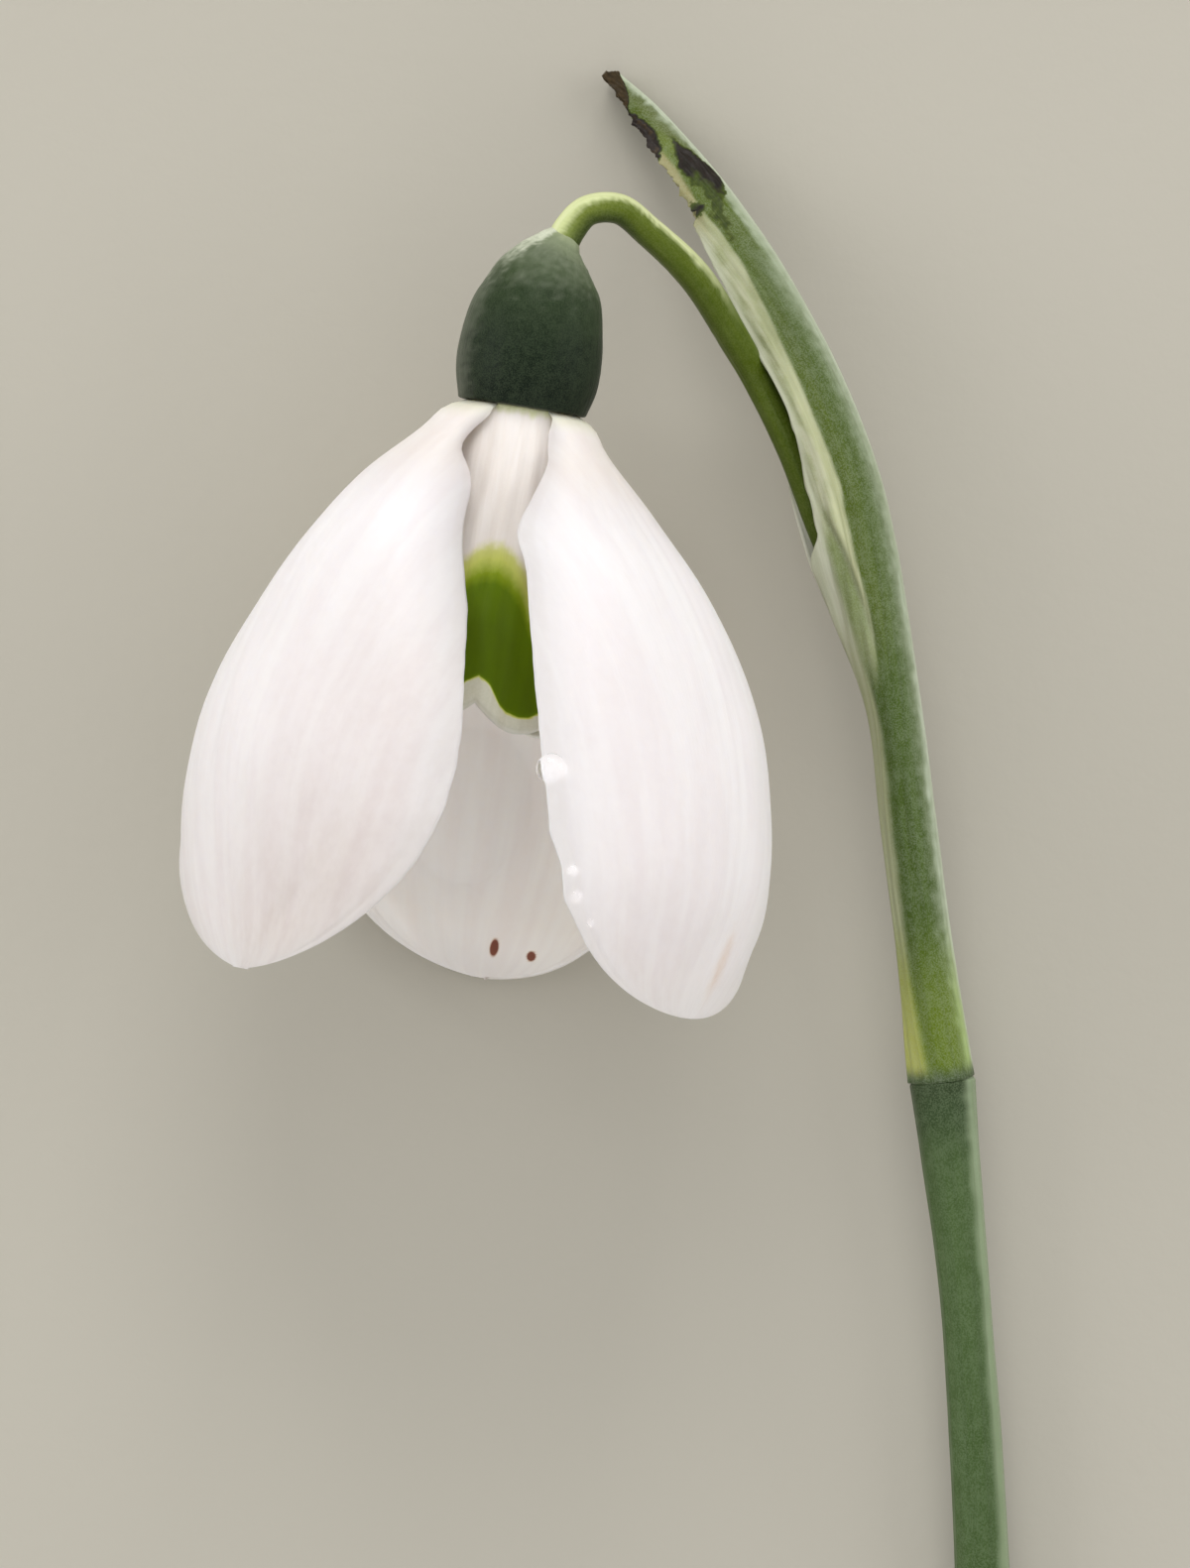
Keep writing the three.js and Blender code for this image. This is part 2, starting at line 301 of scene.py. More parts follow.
class Nodes:
    """Adds and joins the nodes of one tree."""

    def __init__(self, tree: NodeTree) -> None:
        """Args: tree: the node tree that is filled."""
        self.tree = tree

    def add(self, kind: str, inputs: Mapping[str | int, Source] | None = None, **settings: object) -> Node:
        """Adds a node.

        Args:
            kind: the node's type name.
            inputs: what feeds its sockets, by socket name or number.
            settings: its other settings.

        Returns:
            The node.
        """
        node = self.tree.nodes.new(kind)
        for name, value in settings.items():
            setattr(node, name, value)
        self.feed(node, inputs or {})
        return node

    def feed(self, node: Node, inputs: Mapping[str | int, Source]) -> None:
        """Joins each source to the socket of that name or number, or sets the socket to it."""
        for key, source in inputs.items():
            if isinstance(source, Socket):
                self.tree.links.new(source, node.inputs[key])
            else:
                node.inputs[key].default_value = source

    def math(self, operation: str, *sources: Source) -> Socket:
        """Result of a Math node on the sources."""
        return self.add("ShaderNodeMath", dict(enumerate(sources)), operation=operation).outputs[0]

    def scaled(self, place: Source, scale: Source) -> Socket:
        """A place multiplied by a scale along each axis."""
        return self.add("ShaderNodeVectorMath", {0: place, 1: scale}, operation="MULTIPLY").outputs[0]

    def step(self, value: Source, low: Source, high: Source) -> Socket:
        """Smooth step of a value from 0 at low to 1 at high."""
        inputs = {"Value": value, "From Min": low, "From Max": high}
        return self.add("ShaderNodeMapRange", inputs, interpolation_type="SMOOTHSTEP").outputs["Result"]

    def spread(self, value: Source, low: Source, high: Source) -> Socket:
        """A value 0..1 stretched to run from low to high."""
        inputs = {"Value": value, "To Min": low, "To Max": high}
        return self.add("ShaderNodeMapRange", inputs).outputs["Result"]

    def mix(self, share: Source, first: Source, second: Source, way: str = "MIX") -> Socket:
        """Colour a share of the way from the first to the second, blended the given way."""
        inputs = {0: share, 6: first, 7: second}
        return self.add("ShaderNodeMix", inputs, data_type="RGBA", blend_type=way).outputs[2]

    def noise(self, place: Source, scale: Source, detail: float = 2.0) -> Socket:
        """Noise 0..1 at a place."""
        inputs = {"Vector": place, "Scale": scale, "Detail": detail}
        return self.add("ShaderNodeTexNoise", inputs).outputs["Fac"]

    def attribute(self, name: str) -> Node:
        """Node that reads one of the piece's attributes."""
        return self.add("ShaderNodeAttribute", attribute_name=name)

    def ramp(self, value: Source, marks: Stops) -> Socket:
        """Colour at a value among stops."""
        node = self.add("ShaderNodeValToRGB", {0: value})
        elements = node.color_ramp.elements
        for i, (place, colour) in enumerate(marks):
            element = elements[i] if i < len(elements) else elements.new(place)
            element.position = place
            element.color = colour
        return node.outputs["Color"]

    def effect(self, group: NodeTree, **inputs: Source) -> Socket:
        """Output of one of the shared effects. Input names have _ for each space."""
        node = self.add("ShaderNodeGroup", node_tree=group)
        self.feed(node, {name.replace("_", " "): source for name, source in inputs.items()})
        return node.outputs[0]

    def surface(self, inputs: Mapping[str | int, Source]) -> None:
        """Adds a surface shader with these inputs and joins it to the material's output."""
        shader = self.add("ShaderNodeBsdfPrincipled", inputs)
        self.add("ShaderNodeOutputMaterial", {"Surface": shader.outputs[0]})


def new_material(name: str) -> tuple[Material, Nodes]:
    """An empty material and the maker of its nodes."""
    material = bpy.data.materials.new(name)
    material.use_nodes = True
    material.node_tree.nodes.clear()
    return material, Nodes(material.node_tree)


class Effects:
    """Node groups that several finishes use, each built once."""

    STREAK_LEVELS = (0.34, 0.66)  # noise where a streak starts and where it is full
    GRAIN_LEVELS = (0.38, 0.62)  # the same for a grain of the waxy bloom
    FINE, BROAD = 0.72, 0.28  # shares of the single grains and of the patches in which they gather
    PATCH = 0.13  # a grain's size as a share of a patch's
    SLANT = (0.6, 0.9, 0.7)  # turns the grains' noise off the axes
    CELL_STRETCH = (1.0, 1.0, 0.4)  # cells are longer than wide

    def __init__(self) -> None:
        """Builds the groups."""
        self.streaks = self._streaks()
        self.speckle = self._speckle()
        self.relief = self._relief()

    @staticmethod
    def _group(
        name: str, numbers: Sequence[str], result: str = "Mask", kind: str = "NodeSocketFloat"
    ) -> tuple[Nodes, Mapping[str, Socket], Node]:
        """A group with a Place and number inputs: its maker of nodes, its inputs and its output node."""
        tree = bpy.data.node_groups.new(name, "ShaderNodeTree")
        tree.interface.new_socket("Place", in_out="INPUT", socket_type="NodeSocketVector")
        for number in numbers:
            tree.interface.new_socket(number, in_out="INPUT", socket_type="NodeSocketFloat")
        tree.interface.new_socket(result, in_out="OUTPUT", socket_type=kind)
        nodes = Nodes(tree)
        return nodes, nodes.add("NodeGroupInput").outputs, nodes.add("NodeGroupOutput")

    def _streaks(self) -> NodeTree:
        """Soft lengthwise streaks: Spacing across and Length along, in millimetres."""
        nodes, given, result = self._group("lengthwise_streaks", ["Spacing", "Length"])
        across = nodes.math("DIVIDE", 1.0, given["Spacing"])
        along = nodes.math("DIVIDE", 1.0, given["Length"])
        scale = nodes.add("ShaderNodeCombineXYZ", {0: across, 1: across, 2: along}).outputs[0]
        streaked = nodes.noise(nodes.scaled(given["Place"], scale), 1.0, 3.0)
        nodes.feed(result, {0: nodes.step(streaked, *self.STREAK_LEVELS)})
        return nodes.tree

    def _speckle(self) -> NodeTree:
        """Waxy bloom: fine grains, Size millimetres apart, that gather in patches."""
        nodes, given, result = self._group("waxy_speckle", ["Size"])
        turned = {"Vector": given["Place"], "Rotation": self.SLANT}
        place = nodes.add("ShaderNodeVectorRotate", turned, rotation_type="EULER_XYZ").outputs[0]
        fine = nodes.noise(place, nodes.math("DIVIDE", 1.0, given["Size"]), 3.0)
        broad = nodes.noise(place, nodes.math("DIVIDE", self.PATCH, given["Size"]), 3.0)
        shares = nodes.math("MULTIPLY", fine, self.FINE), nodes.math("MULTIPLY", broad, self.BROAD)
        nodes.feed(result, {0: nodes.step(nodes.math("ADD", *shares), *self.GRAIN_LEVELS)})
        return nodes.tree

    def _relief(self) -> NodeTree:
        """Normal of a skin with raised Streaks and with cells that are Cell millimetres wide."""
        numbers = ["Streaks", "Streak Height", "Cell", "Cell Height"]
        nodes, given, result = self._group("skin_relief", numbers, "Normal", "NodeSocketVector")
        long_cells = nodes.scaled(given["Place"], self.CELL_STRETCH)
        cells = nodes.noise(long_cells, nodes.math("DIVIDE", 1.0, given["Cell"]))
        low = nodes.math("MULTIPLY", given["Streaks"], given["Streak Height"])
        high = nodes.math("MULTIPLY", cells, given["Cell Height"])
        height = nodes.math("MULTIPLY", nodes.math("ADD", low, high), MM)
        bumped = nodes.add("ShaderNodeBump", {"Height": height, "Distance": 1.0, "Strength": 1.0})
        nodes.feed(result, {0: bumped.outputs["Normal"]})
        return nodes.tree


@dataclass(frozen=True)
class Streaks:
    """Lengthwise streaks: colour and strength, and in millimetres their spacing, length and height."""

    colour: Colour
    strength: float
    spacing: float
    length: float
    height: float = 0.012


@dataclass(frozen=True)
class Wax:
    """A waxy bloom of fine grains: colour and strength, and the size of a grain in millimetres."""

    colour: Colour
    strength: float
    grain: float = 0.09


@dataclass(frozen=True)
class Marking:
    """A mark on the skin: colours from its edge to its heart, and how soft and how ragged the edge is."""

    colours: Stops
    edge: float
    ragged: float

    def over(self, nodes: Nodes, place: Socket, ground: Socket) -> tuple[Socket, Socket]:
        """How far the mark covers the ground at a place, and the colour of the ground with the mark."""
        mark = nodes.attribute(MARK).outputs["Fac"]
        wander = nodes.math("SUBTRACT", nodes.noise(place, 4.0, 4.0), 0.5)
        ragged = nodes.math("MULTIPLY_ADD", wander, self.ragged, mark)
        cover = nodes.math("MULTIPLY", nodes.step(ragged, 0.0, self.edge), nodes.step(mark, 0.0, 0.01))
        return cover, nodes.mix(cover, ground, nodes.ramp(ragged, self.colours))


@dataclass(frozen=True)
class SkinFinish:
    """Living plant skin: a painted ground, streaks, a waxy bloom, perhaps a marking, and fine relief."""

    name: str
    streaks: Streaks
    wax: Wax
    roughness: tuple[float, float]  # between the grains of wax and on them
    marking: Marking | None = None
    cells: tuple[float, float] = (0.06, 0.004)  # width and height in millimetres
    glow: tuple[float, float] = (0.0, 0.0)  # how many millimetres light spreads inside, and how much of it
    specular: float = 0.5
    sheen: float = 0.0

    GLOW_REACH = (1.0, 0.95, 0.85)  # for red, green and blue light
    SHEEN_ROUGHNESS = 0.4
    SHEEN_TINT = tint(226, 232, 214)

    def make(self, effects: Effects) -> Material:
        """Builds the material.

        Args:
            effects: the shared node groups.

        Returns:
            The material.
        """
        material, nodes = new_material(self.name)
        place = nodes.attribute(GRAIN).outputs["Vector"]
        spaced = {"Spacing": self.streaks.spacing, "Length": self.streaks.length}
        streaks = nodes.effect(effects.streaks, Place=place, **spaced)
        speckle = nodes.effect(effects.speckle, Place=place, Size=self.wax.grain)
        coat, wax = nodes.attribute(COAT).outputs["Color"], self.wax.strength
        if self.marking:
            cover, coat = self.marking.over(nodes, place, coat)
            wax = nodes.spread(cover, wax, 0.0)
        streaked = nodes.math("MULTIPLY", streaks, self.streaks.strength)
        coat = nodes.mix(streaked, coat, self.streaks.colour, "MULTIPLY")
        cell, cell_height = self.cells
        heights = {"Streak_Height": self.streaks.height, "Cell": cell, "Cell_Height": cell_height}
        reach, weight = self.glow
        nodes.surface(
            {
                "Base Color": nodes.mix(nodes.math("MULTIPLY", speckle, wax), coat, self.wax.colour),
                "Roughness": nodes.spread(speckle, *self.roughness),
                "Normal": nodes.effect(effects.relief, Place=place, Streaks=streaks, **heights),
                "Subsurface Weight": weight,
                "Subsurface Radius": self.GLOW_REACH,
                "Subsurface Scale": reach * MM,
                "Specular IOR Level": self.specular,
                "Sheen Weight": self.sheen,
                "Sheen Roughness": self.SHEEN_ROUGHNESS,
                "Sheen Tint": self.SHEEN_TINT,
            }
        )
        return material


def bloom_point(azimuth: float, radial: float, side: float, down: float) -> Vector:
    """Point of the bloom in the maker's frame.

    Args:
        azimuth: degrees round the flower axis, from straight up towards +x.
        radial, side: distances from the axis in that direction and square to it.
        down: distance from the receptacle towards the tips.
    """
    turn = radians(azimuth)
    local = Vector((radial * sin(turn) + side * cos(turn), -down, 0.0))
    local.rotate(Matrix.Rotation(BLOOM_TILT, 3, "Z"))
    local.z = BLOOM_HEIGHT + radial * cos(turn) - side * sin(turn)
    return local


@dataclass(frozen=True)
class Blemish:
    """A mark on a petal: its place and half sizes in millimetres, and its strength."""

    down: float
    side: float
    half_length: float
    half_width: float
    strength: float

    def at(self, down: float, side: float) -> float:
        """Strength of the mark at a place."""
        off = hypot((down - self.down) / self.half_length, (side - self.side) / self.half_width)
        return self.strength * max(1.0 - off, 0.0)


@dataclass(frozen=True)
class Bump:
    """A place down a petal's front margin that swings sideways: its half length and the move along x."""

    down: float
    half: float
    move: float


@dataclass(frozen=True)
class Sheet:
    """A thin piece, shaped from a flat grid."""

    name: str

    GRID = (1, 1)  # faces across and along

    def spot(self, across: float, share: float) -> Spot:
        """The spot at a place across (-1..1) and a share (0..1) of the grid's length."""
        raise NotImplementedError

    def build(self) -> Object:
        """Makes the piece."""
        mesh = PieceMesh(*self.GRID)
        mesh.shape(self.spot)
        mesh.give_wall()
        return hand_over(mesh.bm, self.name)


@dataclass(frozen=True)
class OuterPetal(Sheet):
    """One of the three large petals: a deep, narrow-based spoon.

    The rows of numbers run from the base to the tip in steps that start short: out is the back of the midrib
    to the flower axis, cup_radius and cup are the radius and half angle of the section.
    """

    node: str
    azimuth: float
    length: float
    out: Numbers
    cup_radius: Numbers
    cup: Numbers
    tip_round: tuple[float, float]
    seed: float
    uneven_side: int = 1  # which margin has the bumps: 1 or -1
    grip: float = 1.0  # how much harder than the others that margin clasps the inner petals
    bumps: tuple[Bump, ...] = ()
    blemishes: tuple[Blemish, ...] = ()
    painted_warm_light: float = 0.0  # how far its white leans to cream: painted warm light for the shade it lies in behind the front petals
    painted_shade: float = 0.0  # how much painted shade greys its inner half and its end

    GRID = (150, 130)
    CROWDING = 1.5  # how much closer together the rows of numbers stand at the base
    LEAST_OPEN = 0.03  # share of the section's angle that is left at the very tip
    TUCK = 0.8  # how far down the base curls in under the ovary
    TUCK_DEPTH = 0.24
    VEINS = 8  # on each half
    VEIN_DEPTH = 0.013
    VEINS_START, VEINS_END = (0.05, 0.2), (0.9, 0.6)  # where along they grow deep and where they fade
    SWELL, RIPPLE = 0.13, 0.05  # heights of the broad waves and of the small ones between them
    LIP, LIP_GROOVE = 0.12, 0.035  # height of the margin's waves and depth of the groove beside it
    GROOVE_AT = (0.925, 0.022)  # its middle and width, as shares of the way to the margin
    FRAY = 0.006  # how unevenly the margin ends, as a share of the width
    # how far the margins bend in towards the inner petals, every 1.2 mm down
    CLASP = (0.25, 0.9, 1.4, 1.7, 1.75, 1.6, 1.3, 0.9, 0.5, 0.2, 0.0)
    CLASP_LENGTH = 12.0
    CLASP_SIDE, CLASP_IN = 0.84, 0.54  # shares of it that go sideways and towards the axis
    RIM_WALL, WALL_GAIN = 0.13, 0.27  # wall at the margin, and what it gains away from it
    CLAW_REACH = (4.2, 1.4)  # how far down the claw's colour ends and where it is full
    WHITE = tint(248, 243, 245)
    SHADED = tint(213, 205, 202)
    THIN = tint(226, 217, 213)
    CREAM = tint(251, 240, 230)
    CLAW = tint(238, 226, 215)
    BASE = tint(228, 228, 196)

    def row_place(self, along: float) -> float:
        """Place among the rows of numbers, which stand closer together at the base."""
        return along ** (1 / self.CROWDING)

    def opened(self, along: float) -> float:
        """Share of the section's angle that is open at a place along. It closes at the round tip."""
        sharpness, power = self.tip_round
        return max((1 - along**sharpness) ** power, self.LEAST_OPEN)

    def relief(self, along: float, across: float) -> float:
        """How far the skin stands out from the plain spoon, in millimetres."""
        phase = across * self.VEINS + 0.8 * waver(along * 2.5, across * 5, self.seed)
        vein = (0.5 + 0.5 * cos(2 * pi * phase)) ** 2
        veins = -self.VEIN_DEPTH * vein * rise(along, *self.VEINS_START) * rise(along, *self.VEINS_END)
        swell = self.SWELL * waver(along * 3.0, across * 2.2, self.seed)
        swell += self.RIPPLE * waver(along * 9, across * 5, self.seed)
        lip = self.LIP * abs(across) ** 6 * waver(along * 9, copysign(4, across), self.seed + 5)
        lip -= self.LIP_GROOVE * hump(abs(across), *self.GROOVE_AT) * rise(along, 0.5, 0.7)
        return veins + (swell + lip) * rise(along, 0.0, 0.15) * rise(along, 1.0, 0.9)

    def point(self, along: float, across: float, above: float = 0.0) -> Vector:
        """Point of the back, or above it. along runs 0..1 to the tip, across -1..1 between the margins."""
        place, down = self.row_place(along), along * self.length
        frayed = self.FRAY * waver(along * 30, copysign(3, across), self.seed) * rise(along, 0.1, 0.3)
        opened = self.opened(along) * (1.0 + frayed)
        angle = across * opened * radians(smooth_through(self.cup, place))
        radius = smooth_through(self.cup_radius, place)
        lift = self.relief(along, across) + above
        tuck = 1.0 - self.TUCK_DEPTH * max(1.0 - down / self.TUCK, 0.0) ** 2
        radial = smooth_through(self.out, place) - radius * (1 - cos(angle)) + lift * cos(angle)
        clasp = smooth_through(self.CLASP, down / self.CLASP_LENGTH) * abs(across) ** 3
        uneven = across * self.uneven_side > 0
        if uneven:
            clasp *= self.grip
        side = (radius + lift) * sin(angle) - copysign(self.CLASP_SIDE * clasp, across)
        found = bloom_point(self.azimuth, radial * tuck - self.CLASP_IN * clasp, side, down)
        if uneven:
            found.x += across**4 * sum(b.move * hump(down, b.down, b.half) for b in self.bumps)
        found.z = max(found.z, 0.0)  # the lowest petal is pressed flat where it carries the bloom
        return found

    def spot(self, across: float, share: float) -> Spot:
        """The spot at a place on the grid."""
        along = sin(pi / 2 * share)  # steps closer together towards the tip
        down, place, opened = along * self.length, self.row_place(along), self.opened(along)
        side = across * smooth_through(self.cup_radius, place) * radians(smooth_through(self.cup, place))
        margin = rise(abs(across), 0.9, 0.94) * (1 - 0.6 * rise(abs(across), 0.97, 1.0))
        mottled = 0.5 + 0.5 * waver(down * 0.35, side * 0.6, self.seed + 11)
        # painted shade: grey on the inner half, towards the end and over the claw
        inner = rise(across * self.uneven_side, -0.5, 0.7) * rise(along, 0.1, 0.5)
        painted_shade = self.painted_shade * (0.65 * inner + 0.45 * rise(along, 0.5, 1.0))
        shaded = max(painted_shade, 0.4 * hump(down, 2.6, 2.2))
        coat = layered(
            self.WHITE,
            (self.SHADED, shaded * (0.85 + 0.3 * mottled)),
            (self.THIN, 0.3 * margin + 0.3 * rise(along, 0.86, 1.0)),
            # painted warm light on the shaded rear petal
            (self.CREAM, self.painted_warm_light),
            (self.CLAW, (0.45 + 0.25 * mottled) * rise(down, *self.CLAW_REACH)),
            (self.BASE, 0.8 * rise(down, 0.9, 0.1)),
        )
        mark = sum(blemish.at(down, side * opened) for blemish in self.blemishes)
        wall = self.RIM_WALL + self.WALL_GAIN * rise(abs(across), 1.0, 0.7) * rise(along, 1.0, 0.9)
        grain = Vector((side * opened**0.6, self.seed * 9, down))
        return Spot(self.point(along, across), grain, coat, mark, wall)


@dataclass(frozen=True)
class InnerPetal(Sheet):
    """One of the three short petals that stand round the stamens, notched between two lobes."""

    node: str
    azimuth: float
    seed: float
    flare: float = 0.0  # how far its margins spread near the base

    GRID = (110, 130)
    START = 0.02  # how far down it starts
    LENGTH = 12.1  # to the notch
    LOBE = 0.97  # how far the lobes reach beyond the notch
    LOBE_ANGLE = 23.0
    SHOULDER = 1.6  # how far the outer corners fall short of the lobes
    CUP = 58.5  # half angle of the section
    OUT = (2.15, 2.7, 3.4, 4.2, 4.6)  # distance from the flower axis, from the base to the notch
    RIBS = 3.3  # on each half
    RIB, SWELL = 0.06, 0.04  # heights of the ribs and of the uneven skin
    TURNED_IN = 0.25  # how far the rim bends inwards
    FLARE_AT = (1.9, 1.9)  # middle and width of the part that spreads
    RIM_WALL, WALL_GAIN = 0.16, 0.26  # wall at the margin, and what it gains away from it
    CREAM = tint(243, 236, 231)
    TOP = tint(218, 221, 172)
    RIM = tint(216, 217, 200)
    LIP = tint(232, 232, 220)
    # the green mark: where it starts, and its lower edge from the midrib outwards
    MARK_TOP = 5.3
    MARK_DOME = 0.55
    MARK_LEAN = 0.15
    MARK_FOOT = (11.05, 11.38, 12.1, 12.4, 12.45, 12.25, 11.7, 10.9)
    MARK_REACH = 3.5
    MARK_HALF, MARK_SPREAD = 2.5, 0.8  # half its width above, and what it gains below
    MARK_SPREADS = (8.5, 11.0)  # how far down it starts to gain that and has gained it
    MARK_WAVES = (0.2, 0.04)  # how uneven the upper and the lower edge are
    MARK_SOFT = (3.6, 0.22, 0.5)  # how deep its edge fades: at the top, at the foot and at the sides

    def end(self, across: float) -> float:
        """How far down the petal reaches at a place across."""
        lobe_at = self.LOBE_ANGLE / self.CUP
        lobe = self.LOBE * sin(pi / 2 * min(abs(across) / lobe_at, 1.0))
        past = max((abs(across) - lobe_at) / (1 - lobe_at), 0.0)
        return self.LENGTH + lobe - self.SHOULDER * past**2

    def mark(self, side: float, down: float) -> float:
        """Depth inside the green mark: 0 at its edge, 1 in its heart."""
        away = abs(side)
        top = self.MARK_TOP + self.MARK_DOME * away**2 + self.MARK_LEAN * side
        above, below = self.MARK_WAVES
        top += above * waver(side * 2.2, self.seed)
        foot = smooth_through(self.MARK_FOOT, away / self.MARK_REACH)
        foot += below * waver(side * 5, down, self.seed)
        half = self.MARK_HALF + self.MARK_SPREAD * rise(down, *self.MARK_SPREADS)
        depths = (down - top, foot - down, half - away)
        return max(min(1.0, *(depth / soft for depth, soft in zip(depths, self.MARK_SOFT))), 0.0)

    def spot(self, across: float, share: float) -> Spot:
        """The spot at a place on the grid."""
        down = self.START + share * (self.end(across) - self.START)
        spread = self.flare * across**2 * hump(down, *self.FLARE_AT)
        angle = across * radians(self.CUP) * (1.0 + 0.25 * spread)
        phase = across * self.RIBS + 0.3 * waver(down * 0.3, across, self.seed)
        ribs = 0.5 + 0.5 * cos(2 * pi * phase)
        lift = 0.3 * spread + self.RIB * (ribs - 0.5) * rise(down, 0.3, 1.5) * rise(share, 1.0, 0.9)
        lift += self.SWELL * waver(down * 0.8, across * 4, self.seed)
        radius = smooth_through(self.OUT, down / self.LENGTH) + lift
        radius -= self.TURNED_IN * rise(share, 0.97, 1.0) ** 2
        side = radius * sin(angle)
        point = bloom_point(self.azimuth, radius * cos(angle), side, down)
        coat = layered(
            self.CREAM,
            (self.TOP, rise(down + 0.3 * waver(side * 3.1, 4.0), 0.48, 0.1)),
            (self.RIM, rise(share, 0.84, 0.9)),
            (self.LIP, rise(share, 0.985, 0.995)),
        )
        wall = self.RIM_WALL + self.WALL_GAIN * rise(share, 1.0, 0.95) * rise(abs(across), 1.0, 0.9)
        grain = Vector((radius * angle, self.seed * 9, down))
        return Spot(point, grain, coat, self.mark(side, down), wall)


@dataclass(frozen=True)
class Stalk:
    """A round piece along a smooth line through rows of (x, y, z, radius).

    start and end hold (distance ahead, share of the radius) pairs that shape the two ends.
    """

    name: str
    rows: Rows
    steps: int
    sides: int
    start: Profile = ((0.0, 0.0), (0.0, 0.8))
    end: Profile = ((0.0, 0.8), (0.0, 0.0))

    SKIN: ClassVar[Stops]  # ground colours along the piece

    def coat(self, place: float, turn: float, share: float) -> Colour:
        """Ground colour at a place along, a turn round and a share of the radius."""
        return colour_through(self.SKIN, place)

    def relief(self, distance: float, turn: float) -> float:
        """How far the skin stands out, in millimetres, at a distance along and a turn round."""
        return 0.0

    def section(self, turn: float) -> float:
        """Radius at a turn round, as a share of the row's."""
        return 1.0

    def build(self) -> Object:
        """Makes the piece."""
        line = SmoothLine([row[:3] for row in self.rows])
        radii = [row[3] for row in self.rows]
        distances = line.distances(self.steps)
        stations = [(0.0, ahead, share) for ahead, share in self.start]
        stations += [(i / self.steps, 0.0, 1.0) for i in range(self.steps + 1)]
        stations += [(1.0, ahead, share) for ahead, share in self.end]
        last = len(stations) - 1
        frames = []
        for place, ahead, _ in stations:
            direction = line.ahead(place)
            across = UP.cross(direction).normalized()
            frames.append((line.point(place) + direction * ahead, across, direction.cross(across)))

        def spot_at(around: float, along: float) -> Spot:
            row = round(along * last)
            place, ahead, share = stations[row]
            centre, across, up = frames[row]
            turn = pi * (around + 1.0)
            distance = distances[round(place * self.steps)] + ahead
            radius = smooth_through(radii, place) * self.section(turn) + self.relief(distance, turn)
            radius *= share
            side, height = radius * cos(turn), radius * sin(turn)
            point = centre + across * side + up * height
            return Spot(point, Vector((side, height, distance)), self.coat(place, turn, share))

        mesh = PieceMesh(self.sides, last)
        mesh.shape(spot_at)
        mesh.close_round()
        return hand_over(mesh.bm, self.name)


def skin_waver(distance: float, turn: float, size: float, seed: float) -> float:
    """Noise from -1 to 1 on a round skin, without a seam."""
    across, up = 1.5 * cos(turn), 1.5 * sin(turn)
    return noise.noise(Vector((across / size, up / size, distance / size + seed)))


class Ovary(Stalk):
    """The dark green seed pod above the petals."""

    # ground colours: painted shade at the petal end, painted light towards the stalk
    SKIN = stops(
        (0.0, 8, 19, 11), (0.25, 16, 29, 15), (0.45, 36, 50, 28), (0.62, 64, 78, 50), (0.8, 98, 111, 76),
        (0.9, 126, 137, 98), (1.0, 156, 164, 116),
    )
    # frosty bloom, and a painted highlight where it lies on the lit left side
    FROST_AND_HIGHLIGHT = tint(212, 217, 196)
    LOBE, UNEVEN = 0.02, 0.03  # heights of the three lobes and of the uneven skin

    def coat(self, place: float, turn: float, share: float) -> Colour:
        """Darkest at the petals and paler towards the stalk, as painted shade and painted light; a frosty
        bloom on its shoulders, with a painted highlight on its lit left side.
        """
        skin = colour_through(self.SKIN, place + 0.04 * skin_waver(place * 5, turn, 0.8, 3.0))
        grains = 0.1 * skin_waver(place * 8, turn, 0.3, 7.0) + 0.08 * skin_waver(place * 8, turn, 0.14, 2.0)
        shoulder = 0.25 * rise(place, 0.5, 0.8)
        # painted highlight: the bloom is brightest on the lit left side of the pod
        lit_left_edge = rise(cos(turn + 0.1) + grains, 0.62 - shoulder, 0.97 - shoulder)
        frost = rise(place + grains, 0.42, 0.78) * (0.18 + 0.82 * lit_left_edge)
        return blend(skin, self.FROST_AND_HIGHLIGHT, max(frost, 0.12 * lit_left_edge))

    def relief(self, distance: float, turn: float) -> float:
        """Three faint lobes and a slightly uneven skin."""
        return self.LOBE * cos(3 * turn) + self.UNEVEN * skin_waver(distance, turn, 1.6, 5.0)


